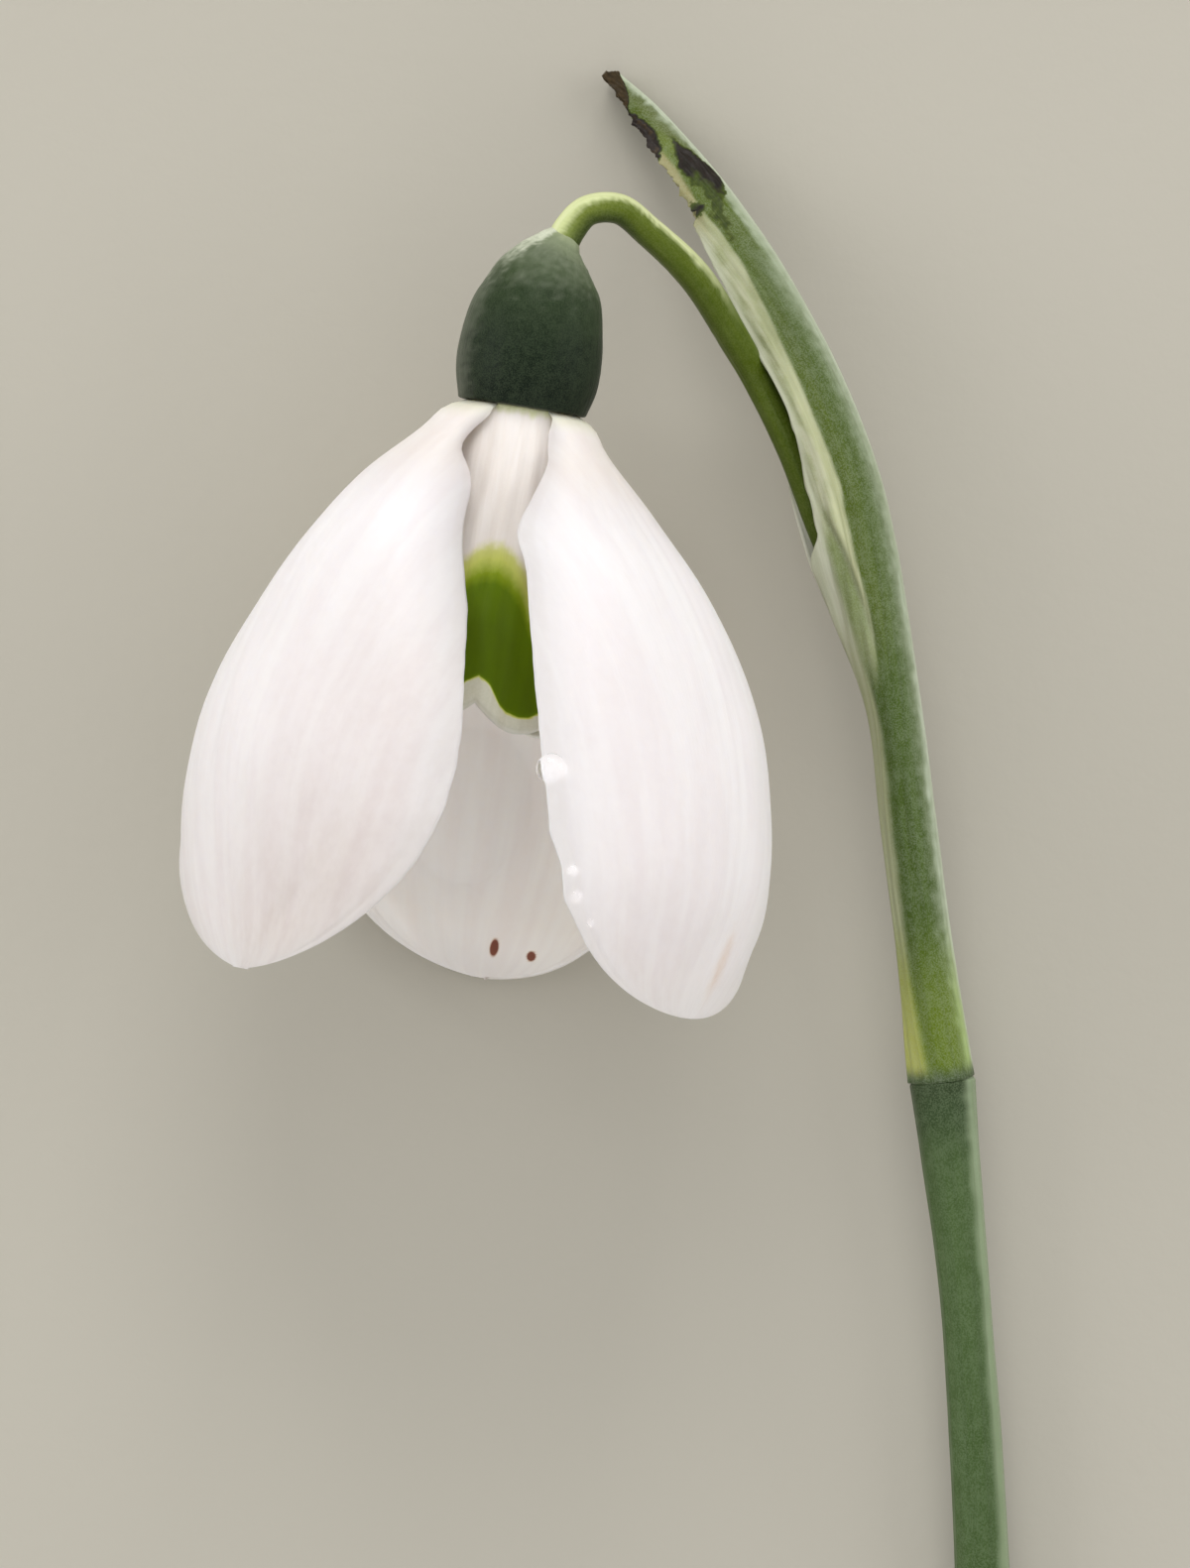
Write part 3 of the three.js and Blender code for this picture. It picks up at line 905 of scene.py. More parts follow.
class Pedicel(Stalk):
    """The thin arched stalk from which the bloom hangs."""

    SKIN = stops(
        (0.0, 128, 138, 98), (0.014, 124, 135, 90), (0.035, 124, 138, 70), (0.14, 106, 120, 42),
        (0.28, 90, 106, 20), (0.45, 80, 97, 12), (1.0, 68, 86, 14),
    )
    # painted highlight along the lit outside of the arch
    PAINTED_HIGHLIGHT = tint(220, 227, 176)
    # painted shade on the lower side of the arch
    PAINTED_SHADE_GREEN = tint(40, 56, 8)
    RIBS, RIB = 5, 0.012
    UNEVEN, DENT = 0.02, 0.05  # heights of the uneven skin and of the dents

    def coat(self, place: float, turn: float, share: float) -> Colour:
        """Pale at the ovary, deeper green towards the spathe; a painted highlight along the outside of the
        arch and painted shade under it.
        """
        rough = skin_waver(place * 12, turn, 0.8, 8.0)
        skin = colour_through(self.SKIN, place + 0.03 * rough * rise(place, 0.0, 0.1))
        outside = cos(turn - 0.35) + 0.12 * skin_waver(place * 60, turn, 0.5, 4.0)
        broad = rise(place, 0.3, 0.1)
        # painted highlight: a pale band along the lit outside of the arch
        sunny = rise(outside, 0.75 - 0.5 * broad, 0.99 - 0.12 * broad)
        skin = blend(skin, self.PAINTED_HIGHLIGHT, 0.95 * sunny * rise(place, 0.5, 0.36) * rise(place, 0.014, 0.05))
        # painted shade: darker green on the lower side of the arch
        arched = rise(place, 0.4, 0.25)
        shady = rise(outside, 0.1 + 0.3 * arched, -0.6) * rise(place, 0.0, 0.05) * (0.25 + 0.75 * arched)
        return blend(skin, self.PAINTED_SHADE_GREEN, 0.9 * shady)

    def relief(self, distance: float, turn: float) -> float:
        """Blunt ribs and small dents."""
        dent = max(skin_waver(distance, turn, 0.55, 2.0) - 0.35, 0.0)
        ribs = self.RIB * cos(self.RIBS * turn + 0.2 * distance)
        return ribs + self.UNEVEN * skin_waver(distance, turn, 2.0, 1.0) - self.DENT * dent


class Scape(Stalk):
    """The stem below the spathe, cut off at its lower end."""

    SKIN = stops(
        (0.0, 48, 63, 34), (0.08, 50, 68, 36), (0.3, 68, 90, 46), (0.7, 62, 84, 40), (1.0, 76, 98, 50),
    )
    # waxy bloom, partly a painted highlight where light catches the stem's edges
    WAX_AND_HIGHLIGHT = tint(158, 174, 142)
    PITH = tint(188, 200, 150)
    RIND = tint(126, 148, 88)
    RIND_FROM = (0.6, 0.93)  # shares of the radius where the pith ends and the rind starts
    RIBS, RIB, UNEVEN = 14, 0.012, 0.03  # how many ribs, their height and that of the uneven skin

    def coat(self, place: float, turn: float, share: float) -> Colour:
        """Green skin with waxy edges left and right that are partly a painted highlight, brightest on the
        right, and pale pith on the cut.
        """
        skin = colour_through(self.SKIN, place + 0.04 * skin_waver(place * 8, turn, 1.0, 4.0))
        # painted highlight: the waxy edges are lit, the right one most
        edge = max(cos(turn - 0.3), 0.75 * cos(turn - pi + 0.15))
        edge += 0.07 * skin_waver(place * 40, turn, 1.3, 9.0)
        skin = blend(skin, self.WAX_AND_HIGHLIGHT, 0.8 * rise(edge, 0.72, 1.0))
        if share < 1.0 and place > 0.5:
            return blend(self.PITH, self.RIND, rise(share, *self.RIND_FROM))
        return skin

    def relief(self, distance: float, turn: float) -> float:
        """Fine ribs along the stem, and a slightly uneven thickness."""
        ribs = self.RIB * cos(self.RIBS * turn + 0.8 * skin_waver(distance, turn, 9.0, 2.0))
        return ribs + self.UNEVEN * skin_waver(distance, turn, 3.5, 6.0)


class Filament(Stalk):
    """The short thread that carries an anther."""

    SKIN = stops((1.0, 232, 230, 214))


class Anther(Stalk):
    """A slender anther with two grooves and a point."""

    YELLOW = tint(222, 160, 52)
    ORANGE = tint(196, 128, 36)
    STRAW = tint(226, 204, 140)

    def coat(self, place: float, turn: float, share: float) -> Colour:
        """Yellow, orange in the grooves and paler at the point."""
        groove = 0.5 - 0.5 * cos(4 * turn)
        return layered(self.YELLOW, (self.ORANGE, groove), (self.STRAW, rise(place, 0.86, 1.0)))

    def section(self, turn: float) -> float:
        """Four-lobed, deeper at the two sides."""
        return 0.93 + 0.07 * cos(4 * turn) + 0.04 * cos(2 * turn)


class Pistil(Stalk):
    """The slender style in the middle, white and greener at the tip."""

    SKIN = stops((0.55, 228, 228, 206), (1.0, 184, 198, 130))


@dataclass(frozen=True)
class SpatheRow:
    """One section of the spathe, from the node to the withered tip.

    fold is the outer radius of the fold round the centre and turn how far it goes round on each side. front
    and back are straight flaps beyond it. membrane, crease and pale are distances from the keel round the
    front: where the thin membrane starts, where it is creased, and where its whitish margin starts.
    """

    centre: Triple
    fold: float
    turn: float
    front: float
    back: float
    membrane: float
    crease: float
    pale: float


@dataclass(frozen=True)
class Spathe(Sheet):
    """The folded sheath of the bud: a green keel with thin membranes, a tube below, withered at its tip."""

    name: str = "spathe_blade"
    rows: tuple[SpatheRow, ...] = (
        SpatheRow((17.15, -27.25, 3.0), 1.33, 180, 0, 0, 4.4, 2.4, 3.3),
        SpatheRow((16.5, -22.2, 3.6), 1.12, 180, 0, 0, 4.2, 2.4, 2.65),
        SpatheRow((15.89, -17.7, 4.1), 1.12, 180, 0, 0, 4.0, 2.4, 2.55),
        SpatheRow((15.19, -13.1, 4.6), 1.22, 178, 0, 0.05, 2.9, 2.3, 2.7),
        SpatheRow((14.36, -9.3, 5.0), 1.5, 154, 0.1, 0.3, 2.45, 2.45, 3.3),
        SpatheRow((13.6, -5.5, 5.2), 1.62, 105, 1.1, 1.7, 2.72, 3.2, 3.7),
        SpatheRow((12.9, -2.6, 5.2), 1.6, 92, 1.38, 2.05, 2.64, 3.8, 3.65),
        SpatheRow((12.0, 0.1, 5.0), 1.5, 90, 1.2, 1.6, 2.62, 3.45, 3.32),
        SpatheRow((10.95, 2.8, 4.4), 1.3, 90, 1.45, 1.3, 2.42, 3.4, 3.2),
        SpatheRow((9.2, 6.5, 3.0), 0.98, 90, 1.48, 1.2, 1.98, 3.4, 2.72),
        SpatheRow((6.85, 10.0, 1.6), 0.8, 90, 0.9, 0.7, 1.9, 3.4, 1.9),
        SpatheRow((4.83, 12.35, 0.73), 0.71, 90, 0.38, 0.3, 1.6, 3.4, 1.9),
        SpatheRow((3.44, 13.63, 0.85), 0.64, 76, 0.0, 0.0, 1.4, 3.4, 1.9),
    )
    seed: float = 4.0

    GRID = (96, 420)
    SPANS = 12  # steps between the rows of numbers, in which places along the piece are counted
    FLOOR = 0.02  # lowest height above the surface
    WALL, WALL_LOSS = 0.3, 0.16  # wall of the keel, and how much thinner the membrane and the margins are
    OPENS = (3.4, 4.4)  # rows where the sheath starts to open and where it is open
    FLATTER = (0.28, 3.3, 0.75)  # how much flatter it is where it closes, and that part's middle and width
    EVEN_BELOW = (5.3, 4.88)  # rows where the front flap becomes as wide as the back one
    TORN, TORN_END = (9.3, 9.6), (12.0, 11.6)  # rows where the torn margin starts and where it ends
    BITES = ((0.1, 9.85, 0.4), (0.12, 9.55, 0.05))  # what the front margin lacks: share, row, rows wide
    SLANT = 0.42  # how much further the front flap's margin reaches, so that the tip is square to the flower
    CREASE, CREASE_END = (3.7, 4.3), (6.9, 6.2)  # rows where the front flap's crease starts and ends
    CREASE_DEPTH = 0.2
    WRINKLE, FINE_WRINKLE = 0.09, 0.05  # heights of the membrane's wrinkles
    # waxy bloom along the keel's edge, partly a painted highlight where light catches it
    WAX_AND_HIGHLIGHT = tint(196, 206, 184)
    KEEL = tint(72, 92, 22)
    OLIVE = tint(78, 95, 8)
    RIDGE = tint(204, 208, 166)
    MEMBRANE = tint(186, 186, 160)
    MOTTLE = tint(138, 144, 96)
    FRINGE = tint(150, 144, 100)
    # painted shade along the front flap's crease
    PAINTED_CREASE_SHADE = tint(92, 102, 58)
    WING = tint(124, 136, 86)
    PALE = tint(190, 192, 170)
    RIM = tint(236, 236, 222)
    SEAM = tint(168, 172, 136)
    SHEATH = tint(66, 88, 16)
    NODE = tint(98, 118, 8)
    NODE_EDGE = tint(172, 196, 118)
    NODE_SEAM = tint(174, 178, 92)
    NODE_END = tint(66, 84, 46)
    TIP = tint(84, 94, 38)
    YOUNG = tint(104, 120, 36)
    # the dead band along the tip's margin, and the dead patch below it: shares of the way to the margin, at
    # even steps of rows
    BAND_ROWS = (10.2, 12.0)
    BAND = (1.1, 0.76, 0.68, 0.78, 0.97, 0.74, 0.46, 0.0)
    BAND_BEHIND = (10.8, 11.3)  # rows where the band on the back flap starts
    PATCH_ROWS = (9.0, 10.5)
    PATCH_KEEL = (0.62, 0.54, 0.42, 0.14, 0.29, 0.42, 0.54)
    PATCH_MARGIN = (0.6, 0.64, 0.67, 0.67, 0.77, 0.57, 0.5)
    PATCH_DARK = (9.4, 9.75)  # rows where the patch turns dark
    NOTCH, NOTCH_FROM = (9.57, 0.045), (0.78, 0.88)  # the dark notch: its row and width, and from where on

    def value(self, key: str, along: float) -> float:
        """A row's value at a place along."""
        return smooth_through([getattr(row, key) for row in self.rows], along)

    def opens(self, row: float) -> float:
        """How far the sheath has opened into its two flaps, from 0 to 1."""
        return rise(row, *self.OPENS)

    def edge(self, along: float, across: float) -> float:
        """Distance round from the keel to the margin on one side."""
        front = across > 0
        flap = max(self.value("front" if front else "back", along), 0.0)
        row, side = along * self.SPANS, copysign(2, across)
        torn = 0.07 * waver(row * 7, side, self.seed) + 0.12 * abs(waver(row * 18, side, 6.5))
        torn -= sum(share * hump(row, middle, width) for share, middle, width in self.BITES) * front
        if front:
            flap += max(self.value("back", along) - flap, 0.0) * rise(row, *self.EVEN_BELOW)
        width = self.value("fold", along) * radians(self.value("turn", along)) + flap
        return width * (1.0 + torn * rise(row, *self.TORN) * rise(row, *self.TORN_END))

    def withered(self, along: float, share: float) -> float:
        """How dead the skin is: 0 living, about a half dark, 1 a crust."""
        row, away = along * self.SPANS, abs(share)
        away += 0.03 * waver(row * 9, away * 2, 2.0) + 0.04 * waver(row * 26, away * 9, 5.0)
        low, high = self.BAND_ROWS
        inner = smooth_through(self.BAND, (row - low) / (high - low)) + (0.0 if share > 0 else 0.12)
        band = (0.76 + 0.24 * rise(row, 11.2, 11.5)) * rise(away - inner, -0.03, 0.09)
        band *= rise(row, low - 0.05, low + 0.1)
        if share < 0:
            return band * rise(row, *self.BAND_BEHIND)
        low, high = self.PATCH_ROWS
        place = (row - low) / (high - low)
        keel_side = smooth_through(self.PATCH_KEEL, place)
        margin_side = smooth_through(self.PATCH_MARGIN, place)
        patch = rise(away - keel_side, -0.05, 0.07) * rise(margin_side - away, -0.05, 0.07)
        patch *= rise(row, low - 0.02, low + 0.1) * rise(row, high + 0.06, high - 0.04)
        dark = rise(row + 0.1 * waver(row * 8, away * 8, 9.0) - 0.4 * rise(away, 0.35, 0.6), *self.PATCH_DARK)
        tan = 0.3 * rise(away, 0.56, 0.66)
        notch = 0.6 * hump(row, *self.NOTCH) * rise(away, *self.NOTCH_FROM)
        return max(band, patch * (0.2 + (0.45 + tan) * dark), notch)

    def creased(self, row: float) -> float:
        """How deep the crease of the front flap is, from 0 to 1."""
        return rise(row, *self.CREASE) * rise(row, *self.CREASE_END) * (0.35 + 0.65 * rise(row, 5.8, 5.0))

    def coat(self, along: float, reach: float) -> Colour:
        """Ground colour at a distance round from the keel."""
        row, away = along * self.SPANS, abs(reach)
        front, back = reach > 0, reach < 0
        opened = self.opens(row)
        crease = self.value("crease", along)
        starts = self.value("membrane", along) + 0.07 * waver(row * 3, 1.0, self.seed)
        pale = self.value("pale", along) + 0.06 * waver(row * 4, 2.0, self.seed)
        frost = away + 0.16 * waver(row * 5, reach * 2, self.seed) + 0.2 * waver(row * 10, reach * 3.6, 31.0)
        shaded_side = rise(row, 8.5, 9.2) * rise(frost, 0.7, 1.05) * rise(row, 10.4, 10.1)
        strip = max(0.85 * hump(away, starts - 0.25, 0.45), 0.95 * shaded_side)
        thin = rise(away, starts - 0.06, starts + 0.1) * opened * rise(row, 10.3, 9.6)
        patchy = rise(waver(row * 1.6, away * 4.0, 21.5) + 0.8 * waver(row * 7, away * 5, 22.5), -0.5, 0.6)
        mottled = blend(self.MEMBRANE, self.MOTTLE, 0.6 * patchy + 0.32 * hump(row, 8.3, 1.4))
        beside = 0.27 if row > 5.5 else min(0.27, 0.5 * (crease - starts))
        broad = 0.2 + 0.06 * rise(row, 6.3, 5.3)
        ridge = (0.35 + 0.6 * rise(row, 8.4, 7.2)) * hump(away, starts + beside, broad)
        near_node = rise(row, 1.5, 0.4)
        node = blend(self.NODE_EDGE, self.NODE, rise(frost, 0.3, 1.3))
        return layered(
            # the keel's waxy edge, partly a painted highlight
            self.WAX_AND_HIGHLIGHT,
            (self.KEEL, rise(frost, 0.1, 1.75) ** 0.8),
            (self.SHEATH, rise(frost, 0.35, 1.6) * (1 - opened)),
            (self.TIP, rise(row, 9.2, 10.4) * rise(frost, 0.3, 0.85)),
            (self.OLIVE, strip * opened),
            (self.YOUNG, 0.75 * hump(row, 10.38, 0.25) * rise(away, 0.9, 1.15)),
            (mottled, thin),
            (self.RIDGE, ridge * thin),
            (self.WING, front * rise(away, crease, crease + 0.15) * rise(row, 5.6, 5.0) * opened),
            # painted shade in the front flap's crease
            (self.PAINTED_CREASE_SHADE, front * 0.7 * hump(away, crease, 0.13) * self.creased(row)),
            (blend(self.SEAM, self.PALE, opened), rise(away, pale - 0.15, pale + 0.3) * rise(row, 10.2, 9.6)),
            # the back flap's whitish margin, partly painted light where its edge catches the light
            (self.RIM, back * rise(away, pale + 0.2, pale + 0.6) * hump(row, 5.4, 0.9)),
            (self.FRINGE, rise(away, pale - 0.3, pale - 0.08) * rise(row, 9.2, 9.6)),
            (node, 0.85 * near_node * rise(frost, -0.2, 0.5)),
            (self.NODE_SEAM, rise(away, 2.5, 3.05) * near_node),
            (self.NODE_END, rise(row + 0.04 * waver(away * 5, 3.0), 0.16, 0.02)),
        )

    def relief(self, along: float, reach: float, share: float) -> float:
        """How far the skin stands out from the plain fold, in millimetres."""
        row, away = along * self.SPANS, abs(reach)
        opened = self.opens(row)
        starts = self.value("membrane", along)
        thin = rise(away, starts, starts + 0.3) * opened
        wrinkles = self.WRINKLE * waver(away * 3.2, row * 1.1, self.seed)
        wrinkles += self.FINE_WRINKLE * waver(away * 7, row * 2.2, self.seed)
        lift = thin * wrinkles * rise(row, 12.0, 11.0) + 0.05 * hump(away, starts + 0.1, 0.16) * opened
        lift += 0.012 * cos(away * 11 + waver(row, 3.0)) * (1 - thin)
        lift += 0.025 * waver(away, row * 1.5, 9.0)
        if reach > 0:
            lift -= self.CREASE_DEPTH * hump(away, self.value("crease", along), 0.16) * self.creased(row)
        else:
            lift *= 0.7
        seam = rise(abs(share), 0.9, 1.0) * rise(row, 4.2, 3.0)
        dead = self.withered(along, share)
        return lift + 0.1 * seam + dead * (0.04 + 0.09 * waver(row * 9, away * 6, self.seed))

    @cached_property
    def frames(self) -> list[tuple[Vector, Vector, Vector, Vector, float]]:
        """For each row of the grid the fold's middle, the ways ahead, out and up, and the distance along."""
        middle = SmoothLine([row.centre for row in self.rows])
        steps = self.GRID[1]
        found = []
        for i, distance in enumerate(middle.distances(steps)):
            ahead = middle.ahead(i / steps)
            outward = ahead.cross(UP).normalized()
            up = outward.cross(ahead).normalized()
            found.append((middle.point(i / steps), ahead, outward, up, distance))
        return found

    def spot(self, across: float, share: float) -> Spot:
        """The spot at a place on the grid."""
        centre, ahead, outward, up, distance = self.frames[round(share * self.GRID[1])]
        reach = across * self.edge(share, across)
        fold, turn = self.value("fold", share), radians(self.value("turn", share))
        angle = min(abs(reach) / fold, turn)
        straight = max(abs(reach) - fold * turn, 0.0)
        lift = self.relief(share, reach, across)
        out = (fold + lift) * cos(angle) - straight * sin(angle)
        flatter, middle, width = self.FLATTER
        out *= 1.0 - flatter * hump(share * self.SPANS, middle, width) * (out < 0)
        height = (fold + lift) * sin(angle) + straight * cos(angle)
        slant = self.SLANT * max(across, 0.0) * rise(share, 0.955, 1.0)
        point = centre + outward * out + up * copysign(height, reach) + ahead * slant
        point.z = max(point.z, self.FLOOR)
        membrane = self.value("membrane", share)
        thin = rise(abs(reach), membrane, membrane + 0.5)
        wall = self.WALL - self.WALL_LOSS * max(thin, rise(abs(across), 0.85, 1.0))
        coat, mark = self.coat(share, reach), self.withered(share, across)
        return Spot(point, Vector((reach, 0.0, distance)), coat, mark, wall)


@dataclass(frozen=True)
class WaterDrop:
    """A drop that sits on a petal: its place on the petal, its radius and its height above the skin."""

    name: str
    petal: OuterPetal
    along: float
    across: float
    radius: float
    height: float

    FOOT = 0.4  # how deep it sinks into the skin, as a share of its height

    def build(self) -> Object:
        """Makes the drop: a ball flattened along the skin's normal, its foot sunk in the skin."""
        foot = self.petal.point(self.along, self.across)
        up = (self.petal.point(self.along, self.across, 1.0) - foot).normalized()
        bm = bmesh.new()
        bmesh.ops.create_icosphere(bm, subdivisions=4, radius=1.0)
        turn = UP.rotation_difference(up).to_matrix()
        for vert in bm.verts:
            x, y, z = vert.co
            height = z * self.height * (1.0 if z > 0 else self.FOOT)
            vert.co = foot + turn @ Vector((x * self.radius, y * self.radius, height))
        drop = hand_over(bm, self.name)
        drop.visible_shadow = False  # clear water lets the light through to the petal
        return drop


@dataclass(frozen=True)
class WaterFinish:
    """Clear water."""

    name: str = "water"

    def make(self) -> Material:
        """Builds the material."""
        material, nodes = new_material(self.name)
        white = tint(255, 255, 255)
        nodes.surface({"Base Color": white, "Roughness": 0.02, "IOR": 1.33, "Transmission Weight": 1.0})
        return material


@dataclass(frozen=True)
class Softbox:
    """A square lamp: where it stands, how large it is, its power and its colour."""

    name: str
    place: Triple
    size: float
    power: float
    colour: Triple = (1.0, 1.0, 1.0)


@dataclass(frozen=True)
class Studio:
    """The pale surface, the lamps and the camera. Places are in metres in the model's frame."""

    surface_size: float = 1.2
    ground: Colour = tint(186, 182, 170)
    ground_patches: Colour = tint(172, 168, 156)
    patches: tuple[float, float] = (40.0, 0.3)  # how many to a metre, and their strength
    tooth: tuple[float, float] = (1400.0, 0.00002)  # the paper's grain: how much to a metre, and its height
    target: Triple = (0.0, 0.01, 0.005)
    lamps: tuple[Softbox, ...] = (
        Softbox("window_lamp", (0.0, 0.5, 0.36), 0.34, 1.52, (1.0, 0.99, 0.98)),
        Softbox("left_lamp", (-0.5, 0.12, 0.26), 0.4, 1.1),
        Softbox("right_lamp", (0.5, 0.12, 0.26), 0.4, 0.9),
        Softbox("overhead_lamp", (0.1, 0.0, 0.75), 0.6, 0.4),
        Softbox("low_lamp", (0.0, -0.55, 0.45), 0.5, 0.7),
    )
    sky: Colour = (0.9, 0.89, 0.88, 1.0)
    sky_strength: float = 0.6
    camera_centre: tuple[float, float] = (-0.000674, 0.01085)
    camera_height: float = 0.5386
    lens: float = 300.0
    sensor: float = 36.0
    clip: tuple[float, float] = (0.05, 5.0)

    def build(self) -> None:
        """Adds the surface, the lamps, the sky and the camera."""
        self._surface()
        for lamp in self.lamps:
            self._lamp(lamp)
        world = bpy.data.worlds.new("soft_sky")
        world.use_nodes = True
        sky = world.node_tree.nodes["Background"]
        sky.inputs["Color"].default_value = self.sky
        sky.inputs["Strength"].default_value = self.sky_strength
        bpy.context.scene.world = world
        bpy.context.scene.view_settings.view_transform = "Standard"
        self._camera()

    def _surface(self) -> None:
        """Adds the surface that the flower lies on."""
        bm = bmesh.new()
        bmesh.ops.create_grid(bm, x_segments=1, y_segments=1, size=self.surface_size)
        surface = mesh_object(bm, "surface")
        material, nodes = new_material("pale_paper")
        place = nodes.add("ShaderNodeTexCoord").outputs["Object"]
        (patch_scale, strength), (grain_scale, grain_height) = self.patches, self.tooth
        patches = nodes.math("MULTIPLY", nodes.noise(place, patch_scale, 3.0), strength)
        height = nodes.math("MULTIPLY", nodes.noise(place, grain_scale), grain_height)
        bump = nodes.add("ShaderNodeBump", {"Height": height, "Distance": 1.0})
        nodes.surface(
            {
                "Base Color": nodes.mix(patches, self.ground, self.ground_patches),
                "Roughness": 0.9,
                "Specular IOR Level": 0.2,
                "Normal": bump.outputs["Normal"],
            }
        )
        surface.data.materials.append(material)

    def _lamp(self, lamp: Softbox) -> None:
        """Adds a lamp that points at the flower."""
        light = bpy.data.lights.new(lamp.name, "AREA")
        light.size = lamp.size
        light.energy = lamp.power
        light.color = lamp.colour
        holder = put_in_scene(lamp.name, light)
        holder.location = lamp.place
        aim = Vector(self.target) - Vector(lamp.place)
        holder.rotation_euler = aim.to_track_quat("-Z", "Y").to_euler()

    def _camera(self) -> None:
        """Adds the camera, straight above the flower."""
        lens = bpy.data.cameras.new("camera")
        lens.lens = self.lens
        lens.sensor_width = self.sensor
        lens.clip_start, lens.clip_end = self.clip
        camera = put_in_scene("camera", lens)
        camera.location = (*self.camera_centre, self.camera_height)
        bpy.context.scene.camera = camera


PETAL_LEFT = OuterPetal(
    name="petal_outer_left",
    node="outer_tepal_left",
    azimuth=-54,
    length=24.0,
    grip=1.45,
    bumps=(
        Bump(0.6, 0.35, 0.25), Bump(1.85, 0.75, -0.5), Bump(3.6, 0.8, 0.16), Bump(5.8, 1.6, -0.1),
        Bump(11.2, 1.8, -0.2),
    ),
    out=(3.0, 4.2, 6.6, 8.6, 10.1, 11.1, 10.7, 9.4),
    cup_radius=(2.9, 2.9, 4.5, 6.4, 8.4, 10.3, 12.0, 13.2),
    cup=(26, 45, 57, 62, 66, 70, 72, 74),
    tip_round=(2.5, 0.66),
    seed=1.0,
    painted_shade=1.0,
)
PETAL_RIGHT = OuterPetal(
    name="petal_outer_right",
    node="outer_tepal_right",
    azimuth=60,
    length=23.2,
    uneven_side=-1,
    bumps=(
        Bump(0.7, 0.35, -0.2), Bump(1.3, 0.6, -0.26), Bump(5.0, 1.1, -0.46), Bump(16.6, 0.5, -0.1),
        Bump(17.9, 0.4, 0.08), Bump(19.2, 0.5, -0.14),
    ),
    out=(3.0, 3.8, 6.2, 9.0, 11.3, 12.75, 13.2, 11.9),
    cup_radius=(2.9, 3.1, 5.1, 7.2, 8.6, 9.5, 10.5, 12.0),
    cup=(28, 42, 58, 63, 66, 69, 72, 74),
    tip_round=(2.5, 0.5),
    seed=2.0,
    painted_shade=0.5,
    blemishes=(Blemish(21.4, 0.95, 2.0, 0.8, 0.46), Blemish(19.8, 0.9, 1.6, 0.8, 0.3)),
)
PETAL_REAR = OuterPetal(
    name="petal_outer_rear",
    node="outer_tepal_rear",
    azimuth=170,
    length=23.15,
    out=(3.0, 4.0, 6.4, 8.9, 10.7, 11.8, 11.8, 10.7),
    cup_radius=(2.9, 3.0, 4.8, 6.8, 8.2, 9.2, 10.0, 11.0),
    cup=(27, 42, 58, 64, 67, 69, 70, 72),
    tip_round=(2.5, 0.56),
    seed=3.0,
    uneven_side=-1,
    bumps=(Bump(21.2, 1.6, -0.6),),
    painted_warm_light=0.9,
    blemishes=(Blemish(21.9, -0.37, 0.46, 0.25, 2.6), Blemish(22.0, -2.07, 0.26, 0.28, 2.6)),
)
INNER_PETALS = (
    InnerPetal("petal_inner_front", "inner_tepal_front", 0, 11.0, flare=1.15),
    InnerPetal("petal_inner_rear_right", "inner_tepal_rear_right", 120, 12.0),
    InnerPetal("petal_inner_rear_left", "inner_tepal_rear_left", 240, 13.0),
)
DROPS = (
    WaterDrop("drop_large", PETAL_RIGHT, 0.612, -0.965, 0.6, 0.45),
    WaterDrop("drop_middle", PETAL_RIGHT, 0.777, -0.95, 0.24, 0.16),
    WaterDrop("drop_small", PETAL_RIGHT, 0.82, -0.94, 0.28, 0.15),
    WaterDrop("drop_least", PETAL_RIGHT, 0.86, -0.91, 0.18, 0.1),
)
OVARY = Ovary(
    name="seed_pod",
    rows=tuple(
        (x, y, BLOOM_HEIGHT, radius)
        for x, y, radius in (
            (0.0, 0.05, 2.61), (0.16, 1.05, 2.87), (0.32, 2.1, 2.93), (0.49, 3.15, 2.82), (0.75, 4.25, 2.56),
            (1.0, 5.3, 2.1), (1.28, 6.1, 1.48), (1.49, 6.55, 1.0), (1.65, 6.82, 0.76), (1.8, 7.08, 0.5),
        )
    ),
    steps=110,
    sides=96,
    start=((-0.07, 0.0), (-0.07, 0.8), (-0.06, 0.93), (-0.04, 0.98)),
    end=((0.0, 0.9), (0.0, 0.0)),
)
PEDICEL = Pedicel(
    name="flower_stalk",
    rows=(
        (1.5, 6.4, BLOOM_HEIGHT, 0.68), (1.92, 7.2, BLOOM_HEIGHT - 0.02, 0.66),
        (2.6, 7.92, BLOOM_HEIGHT - 0.08, 0.62), (3.8, 8.05, BLOOM_HEIGHT - 0.5, 0.61),
        (5.13, 7.13, 9.9, 0.63), (7.08, 5.3, 8.1, 0.68), (8.4, 3.27, 6.48, 0.66), (9.58, 1.3, 4.95, 0.6),
        (10.95, -1.5, 5.1, 0.6), (12.28, -5.2, 5.2, 0.54), (14.3, -9.8, 4.9, 0.45), (15.88, -17.7, 4.1, 0.4),
        (17.1, -27.0, 3.0, 0.4),
    ),
    steps=300,
    sides=36,
)
